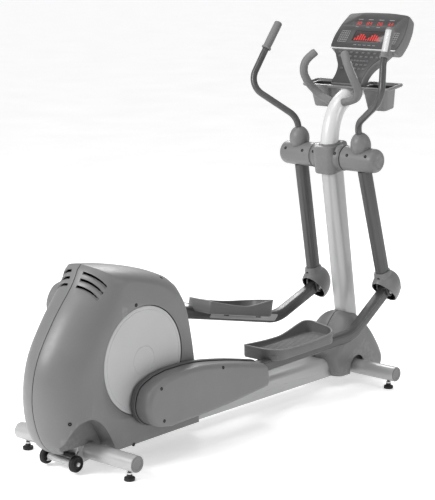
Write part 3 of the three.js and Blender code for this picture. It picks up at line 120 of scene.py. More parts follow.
def fillet(points, radii, steps=8, closed=True):
    """A polyline with its corners turned into arcs."""
    p = [np.asarray(q, float) for q in points]
    n = len(p)
    radii = [radii] * n if np.isscalar(radii) else list(radii)
    out = []
    for i in range(n):
        if radii[i] <= 0 or (not closed and i in (0, n - 1)):
            out.append(p[i])
            continue
        a, b = p[i - 1] - p[i], p[(i + 1) % n] - p[i]
        la, lb = norm(a), norm(b)
        half = acos(np.clip(a @ b / la / lb, -1, 1)) / 2
        if half > pi / 2 - 0.01:
            out.append(p[i])
            continue
        reach = min(radii[i] / tan(half), 0.49 * la, 0.49 * lb)
        start, end, weight = p[i] + a * reach / la, p[i] + b * reach / lb, sin(half)
        for t in np.linspace(0, 1, steps + 1):
            w = np.array([(1 - t) ** 2, 2 * weight * t * (1 - t), t * t])
            out.append((w[0] * start + w[1] * p[i] + w[2] * end) / w.sum())
    return np.array(out)


def resample(points, spacing, closed=True):
    """Extra points along the long straight stretches."""
    p = list(points) + ([points[0]] if closed else [])
    out = []
    for a, b in zip(p[:-1], p[1:]):
        parts = max(1, round(float(norm(np.subtract(b, a))) / spacing))
        out += [np.asarray(a) + (np.asarray(b) - a) * k / parts for k in range(parts)]
    return np.array(out if closed else out + [p[-1]])


def inset(points, distance):
    """The outline moved inward, both in the same order."""
    p = np.asarray(points, float)
    a, b = p - np.roll(p, 1, 0), np.roll(p, -1, 0) - p
    a /= np.maximum(norm(a, axis=1, keepdims=True), 1e-9)
    b /= np.maximum(norm(b, axis=1, keepdims=True), 1e-9)
    normal = np.stack([-(a + b)[:, 1], (a + b)[:, 0]], 1)
    length = norm(normal, axis=1, keepdims=True)
    x, y = p.T
    turning = np.sign(np.sum(x * np.roll(y, -1) - np.roll(x, -1) * y))
    return p + turning * distance * normal / np.maximum(length, 1e-9) / np.maximum(0.5, 0.5 * length)


def oval(depth, width, count=48, power=2.6, grooves=(), depth_of=0.0016, spread=0.11):
    """Section (fore and aft, across) of an oval tube, with lengthwise grooves at some angles."""
    out = []
    for a in np.arange(count) * 2 * pi / count:
        x = copysign(abs(cos(a)) ** (2 / power), cos(a)) * depth / 2
        y = copysign(abs(sin(a)) ** (2 / power), sin(a)) * width / 2
        dip = sum(exp(-(((a - g + pi) % (2 * pi) - pi) / spread) ** 2) for g in grooves)
        size = 1 - dip * depth_of / hypot(x, y)
        out.append((x * size, y * size))
    return np.array(out)


def circle(radius, count=32):
    a = np.arange(count) * 2 * pi / count
    return np.stack([radius * np.cos(a), radius * np.sin(a)], 1)


# ---- mesh building


def placed(name, data):
    """An object in the scene for a mesh, a lamp or the camera."""
    obj = bpy.data.objects.new(name, data)
    bpy.context.scene.collection.objects.link(obj)
    return obj


def make(name, vertices, faces):
    mesh = bpy.data.meshes.new(name)
    mesh.from_pydata([tuple(map(float, v)) for v in vertices], [], faces)
    bm = bmesh.new()
    bm.from_mesh(mesh)
    bmesh.ops.remove_doubles(bm, verts=bm.verts, dist=1e-6)
    bmesh.ops.dissolve_degenerate(bm, edges=bm.edges, dist=1e-7)
    bmesh.ops.recalc_face_normals(bm, faces=bm.faces)
    bm.to_mesh(mesh)
    bm.free()
    return placed(name, mesh)


def loft(name, rings, caps=True, wrap=False):
    """Quads between rings of points; caps close the ends, wrap joins the last ring to the first."""
    n, m = len(rings[0]), len(rings)
    vertices = [p for ring in rings for p in ring]
    faces = []
    for k in range(m if wrap else m - 1):
        a, b = k * n, (k + 1) % m * n
        faces += [(a + i, a + (i + 1) % n, b + (i + 1) % n, b + i) for i in range(n)]
    if caps and not wrap:
        faces += [tuple(range(n)), tuple(range((m - 1) * n, m * n))]
    return make(name, vertices, faces)


def axes_to(axis):
    return Vector((0, 0, 1)).rotation_difference(Vector(axis).normalized()).to_matrix().to_4x4()


def lathe(name, profile, origin=(0, 0, 0), axis=(0, 1, 0), segments=64):
    """The profile is (radius, distance along the axis); it closes on the axis or on itself."""
    wrap = profile[0][0] > 1e-6
    rings = [[(x, y, h) for x, y in circle(max(r, 1e-7), segments)] for r, h in profile]
    if wrap and np.allclose(profile[0], profile[-1]):
        rings = rings[:-1]
    obj = loft(name, rings, caps=not wrap, wrap=wrap)
    obj.data.transform(Matrix.Translation(origin) @ axes_to(axis))
    return obj


def rod(radius, start, end, origin=(0, 0, 0), axis=(0, 1, 0), segments=64):
    """A plain cylinder between two distances along an axis."""
    return lathe("rod", [(0, start), (radius, start), (radius, end), (0, end)], origin, axis, segments)


def rounded(profile, radius, steps=4, closed=False):
    return [tuple(p) for p in fillet(profile, radius, steps, closed)]


def sweep(name, path, section, side=(0, 1, 0), rounding=0.0):
    """A section carried along a path, its first coordinate square to side, with rounded ends."""
    path = np.asarray(path, float)
    tangents = np.gradient(path, axis=0)
    tangents /= norm(tangents, axis=1, keepdims=True)
    section = np.asarray(section, float)
    across, rings = np.array(side, float), []
    for centre, tangent in zip(path, tangents):
        across = across - tangent * (across @ tangent)
        across /= norm(across)
        up = np.cross(across, tangent)
        rings.append(centre + section[:, :1] * up + section[:, 1:] * across)
    if rounding:
        radius = norm(section, axis=1).mean()
        for end, outward in ((0, -1), (-1, 1)):
            centre, tangent, ring = path[end], tangents[end], rings[end]
            extra = []
            for a in np.linspace(0, pi / 2, 6)[1:]:
                scale = 1 - rounding * (1 - cos(a)) / radius
                reach = outward * rounding * (sin(a) - 1)
                extra.append(centre + (ring - centre) * scale + tangent * reach)
            base = ring - tangent * outward * rounding
            rings = extra[::-1] + [base] + rings[1:] if end == 0 else rings[:-1] + [base] + extra
    return loft(name, rings)


def slab(name, outline, y0, y1, rounding=0.0, steps=4, place=lambda u, y, v: (u, y, v)):
    """An outline (u, v) pushed out between two y planes, with rounded edges."""
    rings = []
    toward = copysign(1, y1 - y0)
    angles = np.linspace(0, pi / 2, steps + 1) if rounding else [pi / 2]
    for edge, way, turns in ((y0, toward, angles), (y1, -toward, angles[::-1])):
        for a in turns:
            ring = inset(outline, rounding * (1 - sin(a))) if rounding else np.asarray(outline)
            y = edge + way * rounding * (1 - cos(a))
            rings.append([place(u, y, v) for u, v in ring])
    return loft(name, rings)


def layout(u, y, v):
    """A side-view point measured from the rear stabiliser, in the row frame."""
    return (REAR_X + u, y, v)


def oblong(u0, v0, u1, v1, corner=0.0, steps=4):
    points = [(u0, v0), (u1, v0), (u1, v1), (u0, v1)]
    return fillet(points, corner, steps) if corner else points


def box(name, x0, x1, y0, y1, z0, z1, rounding=0.0):
    return slab(name, oblong(x0, z0, x1, z1, rounding), y0, y1, rounding * 0.6)


def settle(obj):
    """The object's modifiers applied to its mesh."""
    bpy.context.view_layer.update()
    evaluated = obj.evaluated_get(bpy.context.evaluated_depsgraph_get())
    mesh = bpy.data.meshes.new_from_object(evaluated)
    obj.modifiers.clear()
    old, obj.data = obj.data, mesh
    bpy.data.meshes.remove(old)
    return obj


def combine(obj, *tools, how="DIFFERENCE"):
    for tool in tools:
        modifier = obj.modifiers.new("combine", "BOOLEAN")
        modifier.operation = how
        modifier.solver = "EXACT"
        modifier.object = tool
        settle(obj)
        bpy.data.objects.remove(tool)
    return obj


def moved(obj, matrix):
    obj.data.transform(matrix)
    return obj


def flip(obj):
    """The piece turned over to the other side of the middle plane."""
    obj.data.transform(Matrix.Scale(-1, 4, (0, 1, 0)))
    obj.data.flip_normals()
    return obj


def bevelled(obj, width):
    modifier = obj.modifiers.new("bevel", "BEVEL")
    modifier.width = width
    modifier.segments = 2
    modifier.limit_method = "ANGLE"
    modifier.angle_limit = radians(40)
    return obj


def finish(obj, body, look, replaces=(), bevel=0.0, sharp=32, slot=None):
    """Bevel, shading, material and body of one piece."""
    if bevel:
        settle(bevelled(obj, bevel))
    mesh = obj.data
    mesh.materials.clear()
    mesh.materials.append(look)
    mesh.shade_smooth()
    mesh.set_sharp_from_angle(angle=radians(sharp))
    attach(obj, body)
    slot or SLOTS[look.name]
    if replaces:
        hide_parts(*replaces)
    return obj


# ---- materials


SLOTS = {}  # material name to the record's slot


class Surface:
    """A node tree built up step by step."""

    def __init__(self, name, kind=bpy.data.materials, shader="Principled BSDF"):
        self.material = kind.new(name)
        self.material.use_nodes = True
        self.tree = self.material.node_tree
        self.shader = self.tree.nodes[shader]
        self.texture = self.node("ShaderNodeTexCoord").outputs
        self.place = self.texture["Object"]

    def node(self, kind, **values):
        node = self.tree.nodes.new(kind)
        for key, value in values.items():
            if key in node.inputs:
                node.inputs[key].default_value = value
            else:
                setattr(node, key, value)
        return node

    def link(self, start, end):
        self.tree.links.new(start, end)

    def noise(self, scale, detail=3.0, stretch=(1, 1, 1)):
        node = self.node("ShaderNodeTexNoise", Scale=scale, Detail=detail)
        mapping = self.node("ShaderNodeMapping", Scale=stretch)
        self.link(self.place, mapping.inputs["Vector"])
        self.link(mapping.outputs["Vector"], node.inputs["Vector"])
        return node.outputs["Fac"]

    def ramp(self, value, stops):
        node = self.node("ShaderNodeValToRGB")
        elements = node.color_ramp.elements
        while len(elements) < len(stops):
            elements.new(0.5)
        for element, (position, colour) in zip(elements, stops):
            element.position = position
            element.color = (*colour, 1)
        self.link(value, node.inputs["Fac"])
        return node.outputs["Color"]

    def remap(self, value, low, high, start=0.3, end=0.7):
        node = self.node("ShaderNodeMapRange")
        for key, number in (("From Min", start), ("From Max", end), ("To Min", low), ("To Max", high)):
            node.inputs[key].default_value = number
        self.link(value, node.inputs["Value"])
        return node.outputs["Result"]

    def mix(self, share, a, b):
        node = self.node("ShaderNodeMix", data_type="RGBA")
        self.link(share, node.inputs[0])
        for end, value in ((6, a), (7, b)):
            if isinstance(value, tuple):
                node.inputs[end].default_value = (*value, 1)
            else:
                self.link(value, node.inputs[end])
        return node.outputs[2]

    def multiply(self, a, b):
        node = self.node("ShaderNodeMath", operation="MULTIPLY")
        self.link(a, node.inputs[0])
        self.link(b, node.inputs[1])
        return node.outputs[0]

    def bump(self, height, strength, distance):
        node = self.node("ShaderNodeBump", Strength=strength, Distance=distance)
        self.link(height, node.inputs["Height"])
        before = self.shader.inputs["Normal"].links
        if before:
            self.link(before[0].from_socket, node.inputs["Normal"])
        self.link(node.outputs["Normal"], self.shader.inputs["Normal"])

    def edges(self, start=0.52, end=0.6):
        """1 on worn outer edges, broken up by noise."""
        pointed = self.node("ShaderNodeNewGeometry").outputs["Pointiness"]
        worn = self.remap(pointed, 0, 1, start, end)
        return self.multiply(worn, self.remap(self.noise(60, 4), 0, 1, 0.4, 0.65))


def surface(name, slot, shade, tint, roughness, metallic=0, mottle=0.06, wear=0.35, worn=None, grain=None,
        streaks=None, even=False):
    """A general finish: cloudy colour, uneven gloss, fine grain or streaks, and worn edges."""
    s = Surface(name)
    SLOTS[s.material.name] = slot
    colour = (shade, shade, shade * tint)
    light = tuple(min(1, c * (1 + mottle)) for c in colour)
    dark = tuple(c * (1 - mottle) for c in colour)
    cloudy = s.ramp(s.noise(5, 5), [(0.3, dark), (0.7, light)])
    dust = s.remap(s.noise(34, 6), 0, 0.015 if even else 0.05, 0.45, 0.8)
    cloudy = s.mix(dust, cloudy, tuple(min(1, c * 1.2 + 0.006) for c in colour))
    worn = (worn,) * 3 if worn else tuple(min(1, c * 1.6 + 0.02) for c in colour)
    share = s.node("ShaderNodeMath", operation="MULTIPLY")
    share.inputs[1].default_value = wear
    s.link(s.edges(), share.inputs[0])
    s.link(s.mix(share.outputs[0], cloudy, worn), s.shader.inputs["Base Color"])
    spread = 0.012 if even else 0.05
    s.link(s.remap(s.noise(22, 5), roughness - spread, roughness + spread), s.shader.inputs["Roughness"])
    s.shader.inputs["Metallic"].default_value = metallic
    s.shader.inputs["Specular IOR Level"].default_value = 0.25 if max(colour) < 0.03 else 0.5
    if grain:
        size, strength = grain
        s.bump(s.noise(1 / size, 2), strength, size * 0.35)
    if streaks:
        size, stretch, strength = streaks
        s.bump(s.noise(1 / size, 2, stretch), strength, size * 0.25)
    if not even:
        s.bump(s.noise(9, 3), 0.05, 0.0008)
    return s.material


CASING = surface("casing_plastic", "casing", 0.15, 1.01, 0.42, grain=(0.0011, 0.32), mottle=0.05)
DARK_CASING = surface("dark_casing_plastic", "dark_casing", 0.07, 1.01, 0.46, grain=(0.0012, 0.35))
PEDAL_PLASTIC = surface("pedal_plastic", "dark_casing", 0.11, 1.01, 0.45, grain=(0.0012, 0.3))
MAT = surface("pedal_mat_rubber", "dark_casing", 0.14, 1.01, 0.7, grain=(0.0016, 0.6), wear=0.2)
DISC = surface("disc_plastic", "disc", 0.42, 1.01, 0.38, grain=(0.0009, 0.15), mottle=0.03)
SILVER = surface("silver_paint", "silver_paint", 0.42, 1.01, 0.36, 0.3, grain=(0.0007, 0.12), mottle=0.015,
    even=True)
WHITE = surface("white_paint", "white_paint", 0.6, 1.005, 0.3, 0.1, grain=(0.0008, 0.1), mottle=0.012,
    even=True)
DARK_TUBE = surface("dark_tube_paint", "dark_tube", 0.075, 1.02, 0.36, 0.4, grain=(0.0008, 0.2), worn=0.3)
GRIP = surface("grip_rubber", "grip_rubber", 0.15, 1.01, 0.6, grain=(0.0015, 0.5), wear=0.2)
BLACK_RUBBER = surface("black_rubber", "black_rubber", 0.018, 1, 0.55, grain=(0.0014, 0.4), wear=0.25)
BLACK_PLASTIC = surface("black_plastic", "black_plastic", 0.014, 1, 0.3, grain=(0.001, 0.15), wear=0.2)
STEEL = surface("machined_steel", "steel", 0.5, 1.01, 0.3, 1.0, streaks=(0.0007, (1, 14, 1), 0.3))
SENSOR = surface("sensor_steel", "grip_rubber", 0.82, 1, 0.26, 0.7, streaks=(0.0006, (1, 1, 0.08), 0.25),
    mottle=0.03)
FACE = surface("console_face_plastic", "console_plastic", 0.038, 1.05, 0.38, grain=(0.0009, 0.25))
KEYS = surface("console_keys", "console_plastic", 0.075, 1.04, 0.42, grain=(0.0009, 0.25))
TRIM = surface("console_trim", "casing", 0.5, 1.01, 0.35, 0.2, grain=(0.0009, 0.15))
PRINT = surface("panel_print", "console_plastic", 0.3, 1, 0.5, grain=(0.0009, 0.1))
# Near-black screw heads: partly their own dark tone, partly painted shade for the recess round each head.
SCREW_WITH_RECESS_SHADE = surface("screw_with_recess_shade", "steel", 0.006, 1, 0.6, 0.0, grain=(0.0006, 0.2), wear=0.1)


def display_glass():
    s = Surface("display_glass")
    s.link(s.ramp(s.noise(40, 3), [(0.3, (0.012, 0.006, 0.006)), (0.7, (0.03, 0.012, 0.012))]),
        s.shader.inputs["Base Color"])
    s.link(s.remap(s.noise(30, 4), 0.1, 0.22), s.shader.inputs["Roughness"])
    s.shader.inputs["Coat Weight"].default_value = 0.4
    s.bump(s.noise(500, 2), 0.08, 0.0002)
    return s.material


def lit_marks():
    s = Surface("red_read_out")
    glow = s.ramp(s.noise(900, 2), [(0.35, (0.35, 0.012, 0.008)), (0.65, (0.75, 0.03, 0.02))])
    s.link(glow, s.shader.inputs["Base Color"])
    s.link(glow, s.shader.inputs["Emission Color"])
    s.shader.inputs["Emission Strength"].default_value = 0.7
    s.link(s.remap(s.noise(60, 2), 0.35, 0.5), s.shader.inputs["Roughness"])
    return s.material


GLASS = display_glass()
LIT = lit_marks()
SLOTS[GLASS.name] = SLOTS[LIT.name] = "black_plastic"

# ---- floor frame


def stabilisers():
    half = STABILISER_HALF
    for word, x in ENDS.items():
        origin = (x, 0, FLOOR_TUBE_Z)
        wall = [(TUBE_RADIUS - 0.003, half - 0.003), (TUBE_RADIUS - 0.0008, half - 0.003),
            (TUBE_RADIUS, half - 0.0042), (TUBE_RADIUS, half - 0.008)]
        wall = [(r, -y) for r, y in wall] + [(TUBE_RADIUS, 0)] + wall[::-1]
        tube = lathe(f"{word}_stabiliser_tube", wall + wall[:1], origin, segments=72)
        finish(tube, "base", SILVER, [f"{word}_stabiliser"])
        for side, sign in SIDES:
            lip = TUBE_RADIUS - 0.0016
            profile = rounded([(0, -0.03), (lip - 0.002, -0.03), (lip - 0.002, -0.0028), (lip, -0.0028),
                (lip, 0), (0.021, 0), (0.019, -0.0014), (0, -0.0014)], 0.0012)
            cap = lathe(f"{word}_end_cap_{side}", profile, (x, sign * half, FLOOR_TUBE_Z), (0, sign, 0))
            finish(cap, "base", CASING)


def feet():
    for word in ENDS:
        for side, _ in SIDES:
            node = f"foot_{word}_{side}"
            low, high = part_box(node)
            centre = (low + high) / 2
            radius = (high.x - low.x) / 2
            profile = rounded([(0, 0), (radius, 0), (radius, 0.012), (0.0105, 0.015), (0.0105, 0.0225),
                (0.006, 0.0235), (0.006, high.z), (0, high.z)], 0.0022, 3)
            body = lathe(f"levelling_foot_{word}_{side}", profile, (centre.x, centre.y, 0), (0, 0, 1))
            nut = lathe(f"foot_nut_{word}_{side}", rounded([(0.0064, 0.0236), (0.0105, 0.0236),
                (0.0105, 0.0305), (0.0064, 0.0305), (0.0064, 0.0236)], 0), (centre.x, centre.y, 0),
                (0, 0, 1), 6)
            finish(body, f"{word}_{side}_foot", BLACK_RUBBER, [node])
            finish(nut, f"{word}_{side}_foot", STEEL, bevel=0.0006, sharp=25, slot="black_rubber")


def transport_wheels():
    for side, sign in SIDES:
        node = f"transport_wheel_{side}"
        low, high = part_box(node)
        centre, half = (low + high) / 2, (high.y - low.y) / 2
        r = (high.z - low.z) / 2
        tread = [(0.0084, half), (0.014, half), (0.014, half - 0.004), (0.021, half - 0.005), (0.023, half),
            (r - 0.004, half), (r, half - 0.005), (r, 0.0025), (r - 0.0012, 0.0015)]
        tread = rounded([(a, -y) for a, y in tread] + tread[::-1], 0.0012, 3)
        wheel = lathe(f"wheel_{side}", tread + tread[:1], centre, segments=64)
        finish(wheel, f"{side}_wheel", BLACK_RUBBER, [node])
        cap = lathe(f"wheel_axle_cap_{side}", rounded([(0, 0), (0.0076, 0), (0.0076, 0.003), (0, 0.0042)],
            0.001), (centre.x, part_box("wheel_bracket")[1].y * sign - sign * 0.0005, centre.z), (0, sign, 0))
        finish(cap, "base", STEEL, slot="silver_paint")


def spine():
    half, low, high, wall = 0.06, 0.04, 0.124, 0.004

    def section(w):
        h, step = half - w, 0.005 + w / 2
        points = [(-h + step, low + w), (h - step, low + w), (h - step, low + 0.032 + w),
            (h, low + 0.035 + w), (h, high - w), (-h, high - w), (-h, low + 0.035 + w),
            (-h + step, low + 0.032 + w)]
        return fillet(points, [0.004, 0.004, 0.002, 0.002, 0.04 - w, 0.04 - w, 0.002, 0.002], 10)

    x0, x1 = REAR_X - 0.055, REAR_X + 1.722
    stations = [x0, x0 + 0.003, *np.linspace(x0 + 0.1, x1 - 0.1, 9), x1 - 0.003, x1]
    outer = loft("spine_beam", [[(x, y, z) for y, z in section(0)] for x in stations])
    inner = loft("room", [[(x, y, z) for y, z in section(wall)] for x in (x0 - 0.01, x1 + 0.01)])
    seats = [rod(TUBE_RADIUS + GAP, -0.2, 0.2, (x, 0, FLOOR_TUBE_Z)) for x in ENDS.values()]
    finish(combine(outer, inner, *seats), "base", SILVER, ["main_frame"])
    outline = fillet([(0.07, 0.084), (0.35, 0.084), (0.335, 0.42), (0.336, 0.578), (0.304, 0.63),
        (0.04, 0.585), (-0.008, 0.559), (0.008, 0.515)], [0, 0, 0.02, 0.03, 0.03, 0.02, 0.02, 0.02])
    for side, sign in SIDES:
        plate = slab(f"drive_upright_{side}", outline, sign * 0.052, sign * 0.0598, 0.001, 2, layout)
        finish(plate, "base", SILVER)


# ---- mast, collar and console


def mast_x(z):
    return PIVOT.x - (z - PIVOT.z) * tan(MAST_LEAN)


def mast_curve(count, lead=2):
    """The bent part of the mast, from the collar up under the tray."""
    points = [(1.512, 1.13), (1.546, 1.19), (1.6, 1.228), (1.66, 1.253), (1.71, 1.27)]
    top = PIVOT.z + MAST_JOINT + 0.0004
    path = [(mast_x(z), 0, z) for z in (top, top + 0.0246)[:lead]]
    return catmull(path + [(REAR_X + x, 0, z) for x, z in points], count)


def mast_room(radius):
    return sweep("room", mast_curve(50, 0), circle(radius, 40))


def mast():
    low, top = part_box("mast_post")[0].z, PIVOT.z + MAST_JOINT
    shape = oval(0.1, 0.078, 64)
    inner = oval(0.092, 0.07, 64)
    levels = [low, low + 0.004, *np.linspace(low + 0.1, top - 0.1, 6), top - 0.005, top - 0.001]
    rings = [[(mast_x(z) + a, b, z) for a, b in shape] for z in levels]
    rings += [[(mast_x(z) + a, b, z) for a, b in inner] for z in (top, low)]
    finish(loft("mast_column", rings, wrap=True), "base", SILVER, ["mast_post"])

    tube = sweep("mast_bend", mast_curve(56), circle(0.0381, 48))
    trim = box("trim", PIVOT.x - 0.1, PIVOT.x + 0.1, -0.1, 0.1, top - 0.06, top + GAP)
    finish(combine(tube, trim), "base", WHITE, ["mast_tube"])


def collar():
    half, radius = 0.079, 0.055
    groove, floor = 0.0715, radius - 0.0016
    profile = [(radius, groove - 0.0016), (floor, groove - 0.0008), (floor, groove + 0.0008),
        (radius, groove + 0.0016), (radius, half - 0.004), (radius - 0.004, half)]
    profile = [(0, -half)] + [(r, -y) for r, y in profile[::-1]] + profile + [(0, half)]
    arms = lathe("pivot_collar_body", profile, PIVOT, segments=96)
    rings = []
    below, above = 0.062, 0.058
    for z, share in ((-below, 0.006), (-below + 0.002, 0.0025), (-below + 0.007, 0), (above - 0.012, 0),
            (above - 0.005, 0.0022), (above - 0.0012, 0.0075), (above, 0.014)):
        outline = inset(oblong(-0.068, -0.052, 0.068, 0.052, 0.026, 10), share)
        rings.append([(x, y, z) for x, y in outline])
    boss = moved(loft("boss", rings), Matrix.Translation(PIVOT) @ Matrix.Rotation(-MAST_LEAN, 4, "Y"))
    combine(arms, boss, how="UNION")
    shape = oval(0.1006, 0.0786, 64)
    room = loft("room", [[(mast_x(z) + a, b, z) for a, b in shape] for z in (PIVOT.z - 0.12,
        PIVOT.z + MAST_JOINT)])
    hole = rod(0.0405, 0, 0.1, (mast_x(PIVOT.z + 0.05), 0, PIVOT.z + MAST_JOINT - 0.001), (0, 0, 1))
    finish(combine(arms, room, hole), "base", CASING, ["pivot_collar"], bevel=0.0012)
    ring = [(0.0386, 0), (0.047, 0), (0.0455, 0.009), (0.0386, 0.0105)]
    ring = rounded(ring + ring[:1], 0)
    saddle = lathe("mast_saddle_ring", ring, (mast_x(PIVOT.z + 0.053), 0, PIVOT.z + 0.0535),
        (-sin(MAST_LEAN), 0, cos(MAST_LEAN)))
    finish(saddle, "base", CASING, bevel=0.0018)


def on_console(u, depth, v):
    """Across to the left, behind the front plane, and up it."""
    c, s = cos(CONSOLE_TILT), sin(CONSOLE_TILT)
    return (REAR_X + CONSOLE[0] + v * c + depth * s, u, CONSOLE[1] + v * s - depth * c)


def console_slab(name, outline, near, far, rounding=0.0, steps=4):
    return slab(name, outline, near, far, rounding, steps, on_console)


def both_ways(points):
    """A right half outline from the bottom up, and its mirror image."""
    return np.array([(u, v) for u, v in points] + [(-u, v) for u, v in reversed(list(points))])


def display_outline(shrink=0.0):
    corners = both_ways([(0.178, 0.184), (0.187, 0.245), (0.1785, 0.315), (0.1585, 0.3745), (0.07, 0.3845)])
    radii = [0.018, 0.2, 0.2, 0.022, 0.6]
    return inset(fillet(corners, radii + radii[::-1], 7), shrink)


def key_outline(shrink=0.0, high=0.184):
    corners = both_ways([(0.084, 0.0), (0.0785, 0.05), (0.089, 0.096), (0.124, 0.142), (0.157, high)])
    radii = [0.012, 0.12, 0.09, 0.2, 0]
    return inset(fillet(corners, radii + radii[::-1], 7), shrink)


def console():
    shell = console_slab("console_shell", display_outline(), 0, 0.0575, 0.015, 6)
    neck = console_slab("neck", key_outline(0, 0.2), 0.0005, 0.042, 0.009, 5)
    combine(shell, neck, how="UNION")
    seat = 0.0034
    combine(shell, console_slab("a", display_outline(0.004), -0.01, seat), console_slab("b",
        key_outline(0.004, 0.18), -0.01, seat), console_slab("c", display_outline(0.014), seat - 0.0005,
        0.05), console_slab("d", key_outline(0.012, 0.2), seat - 0.0005, 0.034), mast_room(0.0386))
    finish(shell, "base", CASING, ["console_back"], bevel=0.0012)

    window = oblong(-0.08, 0.226, 0.08, 0.28, 0.003)
    face = console_slab("console_fascia", display_outline(0.0046), 0.0002, 0.003, 0.0008, 2)
    combine(face, console_slab("room", inset(window, -0.0004), -0.01, 0.01), console_slab("bar",
        oblong(-0.112, 0.309, 0.112, 0.332, 0.003), -0.01, 0.001))
    finish(face, "base", FACE, ["console_face"], bevel=0.0004)
    glass = console_slab("graph_window", window, 0.0012, 0.003, 0.0003, 2)
    finish(glass, "base", GLASS, ["display_window"])
    keys = console_slab("key_panel", key_outline(0.0046, 0.18), 0.0002, 0.003, 0.0008, 2)
    finish(combine(keys, mast_room(0.0391)), "base", FACE, ["keypad_panel"], bevel=0.0004)

    strip = console_slab("console_trim_strip", fillet([(-0.17, 0.1805), (0.17, 0.1805), (0.174, 0.1865),
        (-0.174, 0.1865)], 0.002, 3), -0.0016, 0.0008, 0.0008, 3)
    finish(strip, "base", TRIM)


def join(name, pieces):
    """Several small meshes as one."""
    vertices, faces = [], []
    for piece in pieces:
        start = len(vertices)
        vertices += [v.co.copy() for v in piece.data.vertices]
        faces += [tuple(start + i for i in p.vertices) for p in piece.data.polygons]
        bpy.data.objects.remove(piece)
    mesh = bpy.data.meshes.new(name)
    mesh.from_pydata(vertices, [], faces)
    return placed(name, mesh)


def tile(u, v, width, height, near, far, corner=0.001, rounding=0.0004):
    outline = oblong(u - width / 2, v - height / 2, u + width / 2, v + height / 2, corner, 3)
    return console_slab("tile", outline, near, far, rounding, 2)


def digit(u, v, shown):
    """A seven-segment figure; shown lists its lit bars."""
    w, h, t = 0.0082, 0.0145, 0.0019
    bars = {"top": (0, h / 2, w, t), "mid": (0, 0, w, t), "low": (0, -h / 2, w, t),
        "tl": (-w / 2, h / 4, t, h / 2), "tr": (w / 2, h / 4, t, h / 2), "bl": (-w / 2, -h / 4, t, h / 2),
        "br": (w / 2, -h / 4, t, h / 2)}
    return [tile(u - bars[b][0], v + bars[b][1], bars[b][2] * 0.86, bars[b][3] * 0.86, 0.0004, 0.0011,
        0.0003, 0) for b in shown.split()]


COLUMNS = (0.083, 0.028, -0.028, -0.083)  # the four read-outs across the display


def read_outs():
    zero, three, eight = "top low tl tr bl br", "top mid low tr br", "top mid low tl tr bl br"
    marks = []
    for group, u in enumerate(COLUMNS):
        for k, figure in enumerate(((three, zero), (eight, three), (zero, eight), (three, three))[group]):
            marks += digit(u + 0.0075 - 0.015 * k, 0.3205, figure)
    heights = [abs(sin(0.55 * k)) * 0.028 + 0.008 for k in range(12)]
    for k, height in enumerate(heights):
        for row in range(int(height / 0.0042)):
            marks.append(tile(-0.066 + 0.012 * k, 0.232 + 0.0042 * row, 0.0072, 0.0026, 0.0006, 0.0014,
                0.0003, 0))
    finish(join("lit_read_outs", marks), "base", LIT)
    marks = []
    for u in COLUMNS:
        marks += [(u, 0.3415, 0.026, 0.0022), (u, 0.301, 0.018, 0.0018)]
    for u in (-0.129, 0.129):
        marks += [(u, 0.219 + 0.0115 * row, 0.044, 0.0016) for row in range(6)]
        marks += [(u + 0.011 * (col - 2), 0.2478, 0.0012, 0.0575) for col in range(5)]
    marks += [(0.05 - 0.025 * k, 0.205, 0.016, 0.0018) for k in range(5)]
    marks = [tile(*mark, -0.0001, 0.0006, 0.0003, 0) for mark in marks]
    finish(join("printed_marks", marks), "base", PRINT)
    keys = []
    for row in range(5):
        reach = 0.118 - 0.011 * row
        count = 8 if row < 3 else 6
        for k in range(count):
            u = -reach + 2 * reach * k / (count - 1) if row < 2 else (-0.062 + 0.124 * k / (count - 1))
            keys.append(tile(u * 0.92, 0.163 - 0.021 * row, 0.0145, 0.0105, -0.0014, 0.0012, 0.003, 0.0007))
    finish(join("console_key_caps", keys), "base", KEYS)


